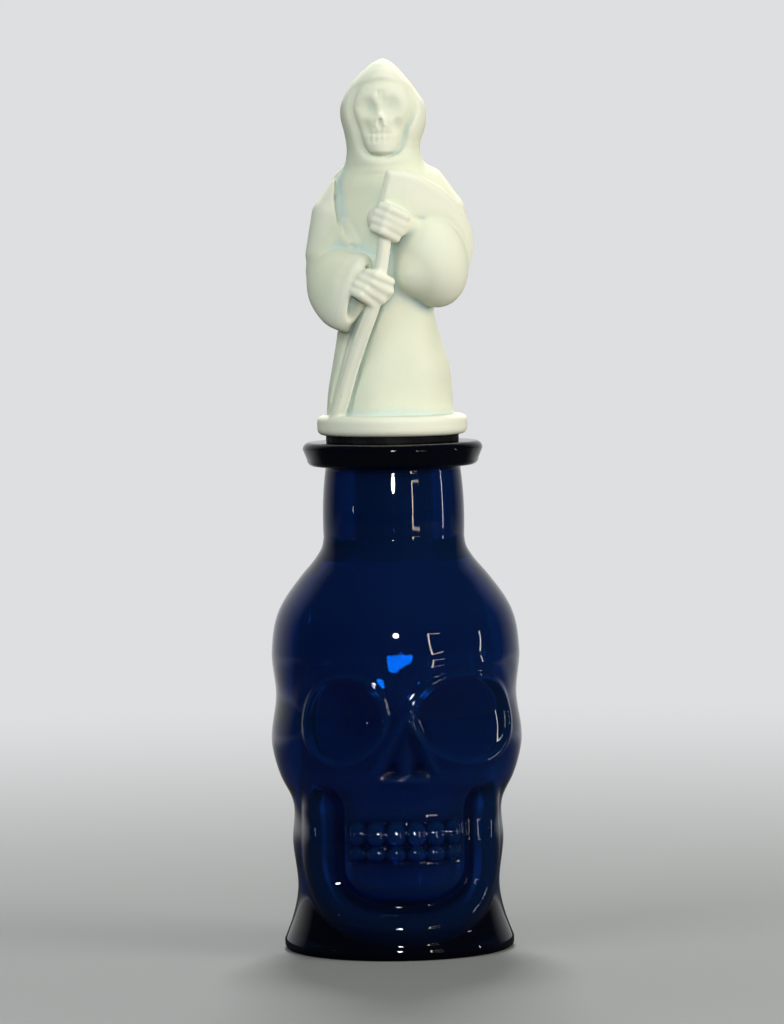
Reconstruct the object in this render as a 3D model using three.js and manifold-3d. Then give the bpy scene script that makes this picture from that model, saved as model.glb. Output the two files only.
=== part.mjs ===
// Skull-shaped glass bottle with a figural stopper: a hooded reaper on a round plinth, a cork and a washer.
// Millimetres, +Z up. The origin is the centre of the foot on the table, and both faces look along -Y.
import * as THREE from "three";
import { mergeVertices } from "three/addons/utils/BufferGeometryUtils.js";
import Module from "manifold-3d";

// Bottle heights, from the table up: each rise is measured from the level before it
const FOOT_EDGE_RISE = 2;
const FOOT_WAIST_RISE = 9.2;
const JAW_RISE = 10.6;
const JAW_TOP_RISE = 8.4;
const CHEEK_TUCK_RISE = 4.8;
const CHEEK_RISE = 6;
const TEMPLE_RISE = 10.4;
const CRANIUM_RISE = 8.6;
const CROWN_RISE = 8.6;
const SHOULDER_RISE = 6.4;
const NECK_RISE = 6.4;
const NECK_LENGTH = 15.4;
const LIP_THICKNESS = 4.8;

// Bottle sections: half widths are along X and half depths along Y
const FOOT_RADIUS = 23;
const FOOT_ROUNDING = 0.9;
const FOOT_WAIST_RADIUS = 20.3;
const JAW_HALF_WIDTH = 21.1;
const JAW_HALF_DEPTH = 21.6;
const CHEEK_HALF_WIDTH = 25;
const CHEEK_HALF_DEPTH = 24.2;
const TEMPLE_HALF_WIDTH = 24.1;
const TEMPLE_HALF_DEPTH = 24.6;
const CRANIUM_HALF_WIDTH = 24.8;
const CRANIUM_HALF_DEPTH = 25.2;
const CROWN_RADIUS = 23;
const SHOULDER_RADIUS = 18.6;
const NECK_RADIUS = 13.8;
const LIP_RADIUS = 18;
const LIP_TAPER = 0.8;
const LIP_ROUNDING = 1.1;
const BORE_RADIUS = 8;
const MOUTH_CHAMFER = 0.8;
const WALL = 4.6;
const BASE_THICKNESS = 5;
const CHAMBER_CORNER = 4;
const PUSH_UP_RADIUS = 14;
const PUSH_UP_DEPTH = 1.6;

// Face of the skull: spacings are arc lengths to each side of its middle
const SOCKET_SPACING = 14;
const SOCKET_BELOW_TEMPLE = 3.8;
const SOCKET_HALF_WIDTH = 11;
const SOCKET_HALF_HEIGHT = 9.5;
const SOCKET_DEPTH = 2.4;
const SOCKET_RIM = 0.6;
const NOSE_BELOW_CHEEK = 4.4;
const NOSE_HEIGHT = 8.8;
const NOSE_HALF_WIDTH = 5.6;
const NOSE_DEPTH = 1.4;
const SEPTUM_HEIGHT = 0.9;
const SEPTUM_HALF_WIDTH = 1.3;
const BROW_SWELL = 0.8;
const BROW_HALF_LENGTH = 30;
const BROW_HALF_HEIGHT = 3;
const BRIDGE_HALF_WIDTH = 3.4;
const MANDIBLE_SPACING = 20;
const MANDIBLE_TURN_BELOW_JAW = 3.2;
const MANDIBLE_DROP = 11.3;
const MANDIBLE_ABOVE_JAW_TOP = 3.4;
const MANDIBLE_HALF_WIDTH = 5.3;
const MANDIBLE_SWELL = 1.5;
const MANDIBLE_FADE = 7;
const GROOVE_DEPTH = 0.9;
const GROOVE_HALF_WIDTH = 1.6;
const TEETH_PER_ROW = 6;
const TOOTH_WIDTH = 3.9;
const BITE_ABOVE_JAW = 0.6;
const UPPER_TOOTH_HEIGHT = 5.6;
const LOWER_TOOTH_HEIGHT = 3;
const TOOTH_SWELL = 0.8;
const GUM_SWELL = 1.3;

// Stopper
const PLINTH_RADIUS = 15;
const PLINTH_THICKNESS = 4;
const PLINTH_ROUNDING = 1.2;
const SPIGOT_RADIUS = 4.2;
const SPIGOT_LENGTH = 15;
const CORK_LENGTH = 23;
const CORK_TAPER = 0.5;
const CORK_CHAMFER = 0.8;
const WASHER_RADIUS = 13.3;
const WASHER_THICKNESS = 1.2;
const FIT_CLEARANCE = 0.3;
const SEAT_GAP = 0.1;
const STOPPER_TURN = -4;

// Reaper, from the top of the plinth up: each rise is measured from the level before it
const WAIST_RISE = 21;
const CHEST_RISE = 15;
const COLLAR_RISE = 15;
const HOOD_RISE = 7.4;
const PEAK_RISE = 12.4;
const HEM_HALF_WIDTH = 12.6;
const HEM_HALF_DEPTH = 11.6;
const WAIST_HALF_WIDTH = 9.2;
const WAIST_HALF_DEPTH = 9;
const CHEST_HALF_WIDTH = 13.6;
const CHEST_HALF_DEPTH = 8.8;
const COLLAR_HALF_WIDTH = 6.9;
const COLLAR_HALF_DEPTH = 6.6;
const HOOD_HALF_WIDTH = 8.6;
const HOOD_HALF_DEPTH = 8.4;
const HEAD_OFFSET = -0.8;
const HEAD_SET_BACK = 0.6;
const HOOD_LEAN = 2;
const FACE_HALF_WIDTH = 6;
const FACE_HALF_HEIGHT = 8.3;
const FACE_RECESS = 4.6;
const FACE_GAP = 0.6;
const EYE_SPACING = 2.85;
const EYE_RADIUS = 1.9;

// Arms and scythe of the reaper: spreads are to the side, reaches to the front, and tilts in degrees
const SHOULDER_SPREAD = 7.6;
const SHOULDER_ABOVE_CHEST = 9.4;
const ELBOW_SPREAD = 11.9;
const ELBOW_BELOW_CHEST = 4;
const ARM_RADIUS = 4.7;
const CUFF_SPREAD = 7.6;
const CUFF_REACH = 9.6;
const CUFF_BELOW_CHEST = 11.4;
const CUFF_HALF_HEIGHT = 8;
const CUFF_HALF_DEPTH = 3.4;
const CUFF_TILT = 23;
const CUFF_WALL = 1;
const BULB_SPREAD = 7.7;
const BULB_REACH = 5.2;
const BULB_BELOW_CHEST = 4.8;
const BULB_HALF_WIDTH = 7.5;
const BULB_HALF_DEPTH = 7;
const BULB_HALF_HEIGHT = 10.2;
const BULB_TILT = 20;
const HAND_REACH = 11.9;
const HAND_HALF_LENGTH = 3.9;
const HAND_HALF_DEPTH = 2.3;
const HAND_HALF_HEIGHT = 3.6;
const LOW_HAND_SPREAD = 3.3;
const LOW_HAND_BELOW_CHEST = 10.2;
const LOW_HAND_TILT = 26;
const HIGH_HAND_SPREAD = 0.3;
const HIGH_HAND_ABOVE_CHEST = 2.5;
const HIGH_HAND_TILT = 24;
const FINGER_RADIUS = 1.05;
const FINGER_LENGTH = 5;
const FINGERS_PER_HAND = 4;
const STAFF_RADIUS = 1.35;
const STAFF_FOOT_SPREAD = 11.2;
const STAFF_FOOT_REACH = 6.8;
const BLADE_REACH = 10.4;
const BLADE_SPREAD = 15.4;
const BLADE_TOP_ABOVE_CHEST = 8.9;
const BLADE_TIP_BELOW_CHEST = 9.3;
const BLADE_WIDTH = 8;
const BLADE_THICKNESS = 1.8;

// Making: how far joined solids run into each other, and how far a cutter runs past the face it opens
const OVERLAP = 0.4;
const OVERRUN = 1;

// Facets
const ROUND_SIDES = 36;
const FACE_COLUMNS = 58;
const FACE_CROWDING = 0.58;
const CAVITY_SIDES = 24;
const ROBE_SIDES = 24;
const LIMB_SIDES = 10;

// Levels above the table
const footEdge = FOOT_EDGE_RISE;
const footWaist = footEdge + FOOT_WAIST_RISE;
const jaw = footWaist + JAW_RISE;
const jawTop = jaw + JAW_TOP_RISE;
const cheekTuck = jawTop + CHEEK_TUCK_RISE;
const cheek = cheekTuck + CHEEK_RISE;
const temple = cheek + TEMPLE_RISE;
const cranium = temple + CRANIUM_RISE;
const crown = cranium + CROWN_RISE;
const shoulder = crown + SHOULDER_RISE;
const neckBase = shoulder + NECK_RISE;
const lipUnderside = neckBase + NECK_LENGTH;
const lipTop = lipUnderside + LIP_THICKNESS;

// Levels above the underside of the plinth
const waist = PLINTH_THICKNESS + WAIST_RISE;
const chest = waist + CHEST_RISE;
const collar = chest + COLLAR_RISE;
const hood = collar + HOOD_RISE;
const peak = hood + PEAK_RISE;

const wasm = await Module();
wasm.setup();
const { Manifold, Mesh: ManifoldMesh } = wasm;
const { smoothstep, lerp } = THREE.MathUtils;
const vec = (x, y, z) => new THREE.Vector3(x, y, z);
const FRONT = vec(0, -1, 0);

// A closed geometry as a solid that can be joined and cut.
function solid(geometry) {
  const bare = geometry.clone();
  bare.deleteAttribute("normal");
  bare.deleteAttribute("uv");
  const merged = mergeVertices(bare, 1e-4);
  return new Manifold(
    new ManifoldMesh({
      numProp: 3,
      vertProperties: merged.attributes.position.array,
      triVerts: new Uint32Array(merged.index.array),
    }),
  );
}

function named(name, manifold, material) {
  const mesh = manifold.getMesh();
  const geometry = new THREE.BufferGeometry();
  geometry.setAttribute("position", new THREE.BufferAttribute(mesh.vertProperties, 3));
  geometry.setIndex(new THREE.BufferAttribute(mesh.triVerts, 1));
  geometry.computeVertexNormals();
  const made = new THREE.Mesh(geometry, material);
  made.name = name;
  return made;
}

const joined = (solids) => solids.reduce((whole, next) => whole.add(next));

// A closed skin over rings of equal counts, each running anticlockwise as seen from the last ring's end.
function loft(rings) {
  const count = rings[0].length;
  const points = rings.flat();
  const index = [];
  for (let r = 0; r + 1 < rings.length; r++) {
    for (let i = 0; i < count; i++) {
      const a = r * count + i;
      const b = r * count + ((i + 1) % count);
      index.push(a, b, b + count, a, b + count, a + count);
    }
  }
  for (const [ring, flip] of [[0, true], [rings.length - 1, false]]) {
    const centre = rings[ring].reduce((sum, p) => sum.add(p), vec(0, 0, 0)).divideScalar(count);
    points.push(centre);
    const hub = points.length - 1;
    for (let i = 0; i < count; i++) {
      const a = ring * count + i;
      const b = ring * count + ((i + 1) % count);
      index.push(hub, flip ? b : a, flip ? a : b);
    }
  }
  const geometry = new THREE.BufferGeometry().setFromPoints(points);
  geometry.setIndex(index);
  return geometry;
}

// Sections on a smooth curve through stations of [height, half width, half depth, rows to the next station].
function belts(stations) {
  const knots = stations.map(([z, w, d]) => vec(w, d, z));
  const curve = new THREE.CatmullRomCurve3(knots, false, "centripetal");
  const spans = stations.length - 1;
  const rows = [];
  for (let span = 0; span < spans; span++) {
    const count = stations[span][3];
    for (let k = 0; k < count; k++) rows.push(curve.getPoint((span + k / count) / spans));
  }
  rows.push(curve.getPoint(1));
  return rows;
}

function ellipseRing(w, d, z, sides, cx = 0, cy = 0) {
  return Array.from({ length: sides }, (_, i) => {
    const angle = (i / sides) * 2 * Math.PI;
    return vec(cx + w * Math.cos(angle), cy + d * Math.sin(angle), z);
  });
}

function revolve(profile) {
  const outline = profile.map(([r, z]) => new THREE.Vector2(r, z));
  return solid(new THREE.LatheGeometry(outline, ROUND_SIDES).rotateX(Math.PI / 2));
}

// Points of a quarter round about a centre in a profile, anticlockwise from an angle.
function quarter(cr, cz, radius, from, steps = 2) {
  return Array.from({ length: steps + 1 }, (_, i) => {
    const angle = from + (i / steps) * (Math.PI / 2);
    return [cr + radius * Math.cos(angle), cz + radius * Math.sin(angle)];
  });
}

// An elliptical section carried along a smooth path. A stop is [x, y, z, half across, half along facing].
function sweep(stops, facing, steps = 2) {
  const path = new THREE.CatmullRomCurve3(stops.map(([x, y, z]) => vec(x, y, z)), false, "centripetal");
  const spans = stops.length - 1;
  const rings = [];
  for (let row = 0; row <= spans * steps; row++) {
    const here = Math.min(Math.floor(row / steps), spans - 1);
    const share = row / steps - here;
    const across = lerp(stops[here][3], stops[here + 1][3], share);
    const along = lerp(stops[here][4], stops[here + 1][4], share);
    const centre = path.getPoint(row / (spans * steps));
    const tangent = path.getTangent(row / (spans * steps));
    const outward = facing.clone().addScaledVector(tangent, -facing.dot(tangent)).normalize();
    const sideways = outward.clone().cross(tangent);
    const ring = [];
    for (let i = 0; i < LIMB_SIDES; i++) {
      const angle = (i / LIMB_SIDES) * 2 * Math.PI;
      const point = centre.clone().addScaledVector(sideways, across * Math.cos(angle));
      ring.push(point.addScaledVector(outward, along * Math.sin(angle)));
    }
    rings.push(ring);
  }
  return solid(loft(rings));
}

function ellipsoid(x, y, z, rx, ry, rz, sides = 12) {
  const ball = new THREE.SphereGeometry(1, sides, Math.round(sides * 0.6));
  return solid(ball.scale(rx, ry, rz).translate(x, y, z));
}

// A round-ended rod between two points.
function rod(from, to, radius) {
  const along = to.clone().sub(from);
  const capsule = new THREE.CapsuleGeometry(radius, along.length(), 2, 8);
  const turn = new THREE.Quaternion().setFromUnitVectors(vec(0, 1, 0), along.clone().normalize());
  const middle = from.clone().add(to).divideScalar(2);
  return solid(capsule.applyQuaternion(turn).translate(middle.x, middle.y, middle.z));
}

// Relief of the skull's face, outward of the plain skin, at an arc length from its middle and a height

const swell = (distance) => Math.exp(-distance * distance);
const fade = (value, from, to) => 1 - smoothstep(value, from, to);

function socketRelief(across, height) {
  const u = (Math.abs(across) - SOCKET_SPACING) / SOCKET_HALF_WIDTH;
  const v = (height - temple + SOCKET_BELOW_TEMPLE) / SOCKET_HALF_HEIGHT;
  const reach = Math.hypot(u, v + 0.1 * u);
  return SOCKET_RIM * swell((reach - 1.08) / 0.12) - SOCKET_DEPTH * Math.max(1 - reach ** 2, 0);
}

// A three-cornered hollow, deepest at the two nostrils, with a ridge down its middle.
function noseRelief(across, height) {
  const rise = (height - cheek + NOSE_BELOW_CHEEK) / NOSE_HEIGHT;
  const side = Math.abs(across) / NOSE_HALF_WIDTH + rise;
  const inside = fade(side, 0.6, 1.05) * smoothstep(rise, -0.1, 0.04);
  const deep = NOSE_DEPTH * lerp(0.6, 1, swell(rise / 0.35));
  return inside * (SEPTUM_HEIGHT * swell(across / SEPTUM_HALF_WIDTH) - deep);
}

function browRelief(across, height) {
  const middle = temple - SOCKET_BELOW_TEMPLE;
  const bridge = swell(across / BRIDGE_HALF_WIDTH) * swell((height - middle) / SOCKET_HALF_HEIGHT);
  const above = (height - middle - SOCKET_HALF_HEIGHT) / BROW_HALF_HEIGHT;
  const arch = swell(above - 0.6) * fade(Math.abs(across), BROW_HALF_LENGTH / 2, BROW_HALF_LENGTH);
  return BROW_SWELL * Math.max(bridge, arch);
}

// The lower jaw is a horseshoe ridge: two upright sides, and a half ellipse that carries them round
// the chin.
function mandibleRelief(across, height) {
  const side = Math.abs(across);
  const turn = jaw - MANDIBLE_TURN_BELOW_JAW;
  const above = Math.max(height - jawTop - MANDIBLE_ABOVE_JAW_TOP + MANDIBLE_HALF_WIDTH, 0);
  const reach = Math.hypot(side / MANDIBLE_SPACING, (turn - height) / MANDIBLE_DROP);
  const scale = lerp(MANDIBLE_DROP, MANDIBLE_SPACING, Math.min(side / MANDIBLE_SPACING, 1));
  const upright = height >= turn;
  const distance = upright ? Math.hypot(side - MANDIBLE_SPACING, above) : Math.abs(reach - 1) * scale;
  const inner = upright ? side < MANDIBLE_SPACING : reach < 1;
  const ridge = MANDIBLE_SWELL * fade(distance, 0, MANDIBLE_HALF_WIDTH);
  const groove = inner ? GROOVE_DEPTH * swell((distance - MANDIBLE_HALF_WIDTH) / GROOVE_HALF_WIDTH) : 0;
  const outer = MANDIBLE_SPACING + MANDIBLE_HALF_WIDTH;
  return (ridge - groove) * fade(side, outer, outer + MANDIBLE_FADE);
}

function toothRelief(across, height) {
  const half = (TEETH_PER_ROW * TOOTH_WIDTH) / 2;
  const bite = jaw + BITE_ABOVE_JAW;
  const bulge = swell((height - bite) / (half * 0.8));
  const gum = GUM_SWELL * bulge * fade(Math.abs(across), half / 2, half * 1.4);
  if (Math.abs(across) > half) return gum;
  const place = (across + half) / TOOTH_WIDTH;
  const side = Math.abs(place - Math.floor(place) - 0.5) * 2;
  const tall = height > bite ? UPPER_TOOTH_HEIGHT : LOWER_TOOTH_HEIGHT;
  const rise = Math.abs((Math.abs(height - bite) / tall) * 2 - 1);
  return gum + TOOTH_SWELL * fade(side, 0.45, 1) * fade(rise, 0.55, 1.05);
}

function relief(angle, height, halfWidth) {
  if (height > crown || Math.abs(angle) > Math.PI / 1.6) return 0;
  const across = angle * halfWidth;
  const upper = browRelief(across, height) + socketRelief(across, height) + noseRelief(across, height);
  const lower = mandibleRelief(across, height) + toothRelief(across, height);
  return smoothstep(height, footEdge / 4, footEdge * 1.75) * (upper + lower);
}

// Plain skin of the skull from foot to neck, with the relief pressed out of it.
function skullSkin() {
  const flare = lerp(FOOT_WAIST_RADIUS, FOOT_RADIUS, 0.36);
  const tuckWidth = lerp(JAW_HALF_WIDTH, CHEEK_HALF_WIDTH, 0.6);
  const tuckDepth = lerp(JAW_HALF_DEPTH, CHEEK_HALF_DEPTH, 0.6);
  const rows = belts([
    [0, FOOT_RADIUS - FOOT_ROUNDING, FOOT_RADIUS - FOOT_ROUNDING, 2],
    [footEdge, FOOT_RADIUS, FOOT_RADIUS, 3],
    [(footEdge + footWaist) / 2, flare, flare, 4],
    [footWaist, FOOT_WAIST_RADIUS, FOOT_WAIST_RADIUS, 8],
    [jaw, JAW_HALF_WIDTH, JAW_HALF_DEPTH, 7],
    [jawTop, JAW_HALF_WIDTH, JAW_HALF_DEPTH, 4],
    [cheekTuck, tuckWidth, tuckDepth, 5],
    [cheek, CHEEK_HALF_WIDTH, CHEEK_HALF_DEPTH, 7],
    [temple, TEMPLE_HALF_WIDTH, TEMPLE_HALF_DEPTH, 5],
    [cranium, CRANIUM_HALF_WIDTH, CRANIUM_HALF_DEPTH, 3],
    [crown, CROWN_RADIUS, CROWN_RADIUS, 3],
    [shoulder, SHOULDER_RADIUS, SHOULDER_RADIUS, 3],
    [neckBase, NECK_RADIUS + OVERLAP / 2, NECK_RADIUS + OVERLAP / 2, 1],
    [neckBase + OVERRUN * 2, NECK_RADIUS - OVERLAP / 4, NECK_RADIUS - OVERLAP / 4, 1],
  ]);
  const rings = rows.map(({ x: w, y: d, z }) =>
    Array.from({ length: FACE_COLUMNS }, (_, i) => {
      const turn = (i / FACE_COLUMNS - 0.5) * 2 * Math.PI;
      const angle = turn - FACE_CROWDING * Math.sin(turn);
      const out = relief(angle, z, w);
      return vec((w + out) * Math.sin(angle), -(d + out) * Math.cos(angle), z);
    }),
  );
  return solid(loft(rings));
}

function neckAndLip() {
  const lowerEdge = LIP_RADIUS - LIP_TAPER - LIP_ROUNDING;
  return revolve([
    [0, neckBase],
    [NECK_RADIUS, neckBase],
    [NECK_RADIUS, lipUnderside],
    ...quarter(lowerEdge, lipUnderside + LIP_ROUNDING, LIP_ROUNDING, -Math.PI / 2),
    ...quarter(LIP_RADIUS - LIP_ROUNDING, lipTop - LIP_ROUNDING, LIP_ROUNDING, 0),
    [0, lipTop],
  ]);
}

// The hollow: a round bore that opens into a smooth chamber, one wall inside the skull.
function hollow() {
  const chamberTop = neckBase - WALL / 4;
  const floorRadius = FOOT_WAIST_RADIUS - WALL;
  const rows = belts([
    [BASE_THICKNESS, floorRadius - CHAMBER_CORNER, floorRadius - CHAMBER_CORNER, 2],
    [BASE_THICKNESS + CHAMBER_CORNER, floorRadius, floorRadius, 2],
    [jawTop, JAW_HALF_WIDTH - WALL, JAW_HALF_DEPTH - WALL, 2],
    [cheek, CHEEK_HALF_WIDTH - WALL, CHEEK_HALF_DEPTH - WALL - SOCKET_DEPTH / 2, 2],
    [cranium, CRANIUM_HALF_WIDTH - WALL, CRANIUM_HALF_DEPTH - WALL, 2],
    [crown, CROWN_RADIUS - WALL, CROWN_RADIUS - WALL, 2],
    [shoulder, SHOULDER_RADIUS - WALL, SHOULDER_RADIUS - WALL, 2],
    [chamberTop, BORE_RADIUS, BORE_RADIUS, 1],
  ]);
  const chamber = solid(loft(rows.map(({ x: w, y: d, z }) => ellipseRing(w, d, z, CAVITY_SIDES))));
  const bore = revolve([
    [0, chamberTop - OVERRUN * 2],
    [BORE_RADIUS, chamberTop - OVERRUN * 2],
    [BORE_RADIUS, lipTop - MOUTH_CHAMFER],
    [BORE_RADIUS + MOUTH_CHAMFER, lipTop],
    [BORE_RADIUS + MOUTH_CHAMFER, lipTop + OVERRUN],
    [0, lipTop + OVERRUN],
  ]);
  return chamber.add(bore);
}

// Shallow dome under the foot, which leaves a flat ring to stand on.
function pushUp() {
  const sphere = (PUSH_UP_RADIUS ** 2 + PUSH_UP_DEPTH ** 2) / (2 * PUSH_UP_DEPTH);
  const dome = Array.from({ length: 4 }, (_, i) => {
    const r = PUSH_UP_RADIUS * (1 - i / 3);
    return [r, PUSH_UP_DEPTH - sphere + Math.sqrt(sphere ** 2 - r ** 2)];
  });
  return revolve([[0, -OVERRUN], [PUSH_UP_RADIUS, -OVERRUN], ...dome]);
}

// Casting of the stopper: plinth and spigot in one with the reaper

function plinthAndSpigot() {
  const edge = PLINTH_RADIUS - PLINTH_ROUNDING;
  return revolve([
    [0, -SPIGOT_LENGTH],
    [SPIGOT_RADIUS, -SPIGOT_LENGTH],
    [SPIGOT_RADIUS, 0],
    ...quarter(edge, PLINTH_ROUNDING, PLINTH_ROUNDING, -Math.PI / 2),
    ...quarter(edge, PLINTH_THICKNESS - PLINTH_ROUNDING, PLINTH_ROUNDING, 0),
    [0, PLINTH_THICKNESS],
  ]);
}

function robeAndHood() {
  const hem = PLINTH_THICKNESS - OVERLAP;
  const rows = belts([
    [hem, HEM_HALF_WIDTH, HEM_HALF_DEPTH, 2],
    [lerp(hem, waist, 0.37), HEM_HALF_WIDTH * 0.95, HEM_HALF_DEPTH * 0.95, 3],
    [waist, WAIST_HALF_WIDTH, WAIST_HALF_DEPTH, 3],
    [chest, CHEST_HALF_WIDTH, CHEST_HALF_DEPTH, 3],
    [lerp(chest, collar, 0.57), CHEST_HALF_WIDTH * 0.9, CHEST_HALF_DEPTH * 0.94, 3],
    [collar, COLLAR_HALF_WIDTH, COLLAR_HALF_DEPTH, 3],
    [hood, HOOD_HALF_WIDTH, HOOD_HALF_DEPTH, 3],
    [lerp(hood, peak, 0.5), HOOD_HALF_WIDTH * 0.79, HOOD_HALF_DEPTH * 0.8, 2],
    [lerp(hood, peak, 0.87), HOOD_HALF_WIDTH * 0.34, HOOD_HALF_DEPTH * 0.36, 1],
    [peak, HOOD_HALF_WIDTH * 0.08, HOOD_HALF_DEPTH * 0.09, 1],
  ]);
  const rings = rows.map(({ x: w, y: d, z }) => {
    const lean = smoothstep(z, chest, hood);
    const back = HEAD_SET_BACK * lean - HOOD_LEAN * smoothstep(z, hood, peak);
    return ellipseRing(w, d, z, ROBE_SIDES, HEAD_OFFSET * lean, back);
  });
  return solid(loft(rings));
}

// The hood opens in an oval, with a cranium and a jaw set back in it.
function faceOpening({ x, z }) {
  const halfWidth = FACE_HALF_WIDTH + FACE_GAP;
  const halfHeight = FACE_HALF_HEIGHT + FACE_GAP;
  return ellipsoid(x, -HOOD_HALF_DEPTH, z, halfWidth, FACE_RECESS, halfHeight, 16);
}

function skullFace({ x, z }) {
  const depth = FACE_HALF_WIDTH * 0.75;
  const front = FACE_RECESS * 0.45 - HOOD_HALF_DEPTH;
  const back = front + depth;
  const eyes = z + EYE_RADIUS * 0.7;
  const headHeight = FACE_HALF_HEIGHT * 0.8;
  const chinHeight = FACE_HALF_HEIGHT - headHeight / 2;
  const head = ellipsoid(x, back, z + FACE_HALF_HEIGHT - headHeight, FACE_HALF_WIDTH, depth, headHeight, 16);
  const chin = ellipsoid(x, back, z - headHeight / 2, FACE_HALF_WIDTH * 0.6, depth * 0.92, chinHeight);
  const nostril = EYE_RADIUS / 2;
  const pits = [ellipsoid(x, front, eyes - EYE_RADIUS * 1.5, nostril, nostril, EYE_RADIUS * 0.7, 8)];
  for (const side of [-1, 1]) {
    pits.push(ellipsoid(x + side * EYE_SPACING, front, eyes, EYE_RADIUS, EYE_RADIUS, EYE_RADIUS, 10));
  }
  return head.add(chin).subtract(joined(pits));
}

// An upper arm from the shoulder to the elbow, on one side of the body.
function upperArm(side) {
  const shoulderEnd = [side * SHOULDER_SPREAD, HEAD_SET_BACK, chest + SHOULDER_ABOVE_CHEST];
  const elbow = [side * ELBOW_SPREAD, 0, chest - ELBOW_BELOW_CHEST];
  const spread = lerp(SHOULDER_SPREAD, ELBOW_SPREAD, 0.74);
  const bulge = [side * spread, HEAD_SET_BACK, lerp(shoulderEnd[2], elbow[2], 0.4)];
  const end = [elbow[0], -ARM_RADIUS / 2, elbow[2] - ARM_RADIUS];
  return sweep(
    [
      [...shoulderEnd, ARM_RADIUS * 0.7, ARM_RADIUS * 0.7],
      [...bulge, ARM_RADIUS, ARM_RADIUS],
      [...elbow, ARM_RADIUS, ARM_RADIUS],
      [...end, ARM_RADIUS * 0.8, ARM_RADIUS * 0.8],
    ],
    vec(1, 0, 0),
  );
}

// The wide hanging sleeve of the lower hand, hollow at its tilted cuff.
function hangingSleeve() {
  const tilt = THREE.MathUtils.degToRad(CUFF_TILT);
  const droop = vec(Math.sin(tilt), 0, Math.cos(tilt));
  const elbowHeight = chest - ELBOW_BELOW_CHEST - ARM_RADIUS / 2;
  const cuffHeight = chest - CUFF_BELOW_CHEST;
  const stop = (share, across, along) => [
    -lerp(ELBOW_SPREAD, CUFF_SPREAD, share * share),
    -lerp(0, CUFF_REACH, share),
    lerp(elbowHeight, cuffHeight, share),
    across,
    along,
  ];
  const outside = sweep(
    [
      stop(0, ARM_RADIUS * 0.9, ARM_RADIUS * 1.1),
      stop(0.45, ARM_RADIUS * 0.9, CUFF_HALF_HEIGHT * 0.86),
      stop(1, CUFF_HALF_DEPTH, CUFF_HALF_HEIGHT),
    ],
    droop,
  );
  const room = CUFF_HALF_DEPTH - CUFF_WALL;
  const inside = sweep(
    [stop(0.75, room, CUFF_HALF_HEIGHT - CUFF_WALL * 2), stop(1.3, room, CUFF_HALF_HEIGHT - CUFF_WALL)],
    droop,
  );
  return outside.subtract(inside);
}

// The gathered sleeve of the upper hand, a tilted bulb.
function bulbSleeve() {
  const bulb = ellipsoid(0, 0, 0, BULB_HALF_WIDTH, BULB_HALF_DEPTH, BULB_HALF_HEIGHT, 18);
  return bulb.rotate([0, -BULB_TILT, 0]).translate([BULB_SPREAD, -BULB_REACH, chest - BULB_BELOW_CHEST]);
}

// A fist about the staff: the fingers slope down by the tilt and are stacked square to it.
function fist(centre, tilt, wrist) {
  const slope = THREE.MathUtils.degToRad(tilt);
  const across = vec(Math.cos(slope), 0, -Math.sin(slope));
  const along = vec(Math.sin(slope), 0, Math.cos(slope));
  const forward = FRONT.clone().multiplyScalar(FINGER_RADIUS);
  const pieces = [
    ellipsoid(centre.x, centre.y, centre.z, HAND_HALF_LENGTH, HAND_HALF_DEPTH, HAND_HALF_HEIGHT, 10),
    rod(centre, wrist, FINGER_RADIUS * 1.9),
  ];
  for (let i = 0; i < FINGERS_PER_HAND; i++) {
    const step = (i - (FINGERS_PER_HAND - 1) / 2) * FINGER_RADIUS * 1.7;
    const middle = centre.clone().addScaledVector(along, step).add(forward);
    const knuckle = middle.clone().addScaledVector(across, -FINGER_LENGTH / 2);
    const tip = middle.clone().addScaledVector(across, FINGER_LENGTH / 2);
    pieces.push(rod(knuckle, tip, FINGER_RADIUS));
  }
  return joined(pieces);
}

// The staff leans from the plinth through both hands and ends behind the blade.
function staff(low, high) {
  const r = STAFF_RADIUS;
  const foot = vec(-STAFF_FOOT_SPREAD, -STAFF_FOOT_REACH, PLINTH_THICKNESS - OVERLAP);
  const half = foot.clone().lerp(low, 0.5).addScaledVector(FRONT, FINGER_RADIUS / 2);
  const head = high.clone().add(vec(0, FINGER_RADIUS, HAND_HALF_HEIGHT));
  return sweep([foot, half, low, high, head].map(({ x, y, z }) => [x, y, z, r, r]), FRONT);
}

// The blade curves from behind the upper hand over the shoulder and down the arm. A stop gives shares of
// its spread, its reach to the front, its drop and its width.
function blade() {
  const stops = [
    [-0.1, 1, 0, 0.86],
    [0.16, 1, 0, 1],
    [0.43, 0.92, 0.1, 1],
    [0.74, 0.73, 0.28, 0.8],
    [0.95, 0.54, 0.52, 0.56],
    [1, 0.44, 0.75, 0.38],
    [0.93, 0.4, 1, 0.1],
  ];
  const top = chest + BLADE_TOP_ABOVE_CHEST;
  const tip = chest - BLADE_TIP_BELOW_CHEST;
  return sweep(
    stops.map(([out, ahead, drop, breadth]) => [
      out * BLADE_SPREAD,
      -ahead * BLADE_REACH,
      lerp(top, tip, drop),
      (breadth * BLADE_WIDTH) / 2,
      (Math.max(breadth, 0.4) * BLADE_THICKNESS) / 2,
    ]),
    FRONT,
  );
}

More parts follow.
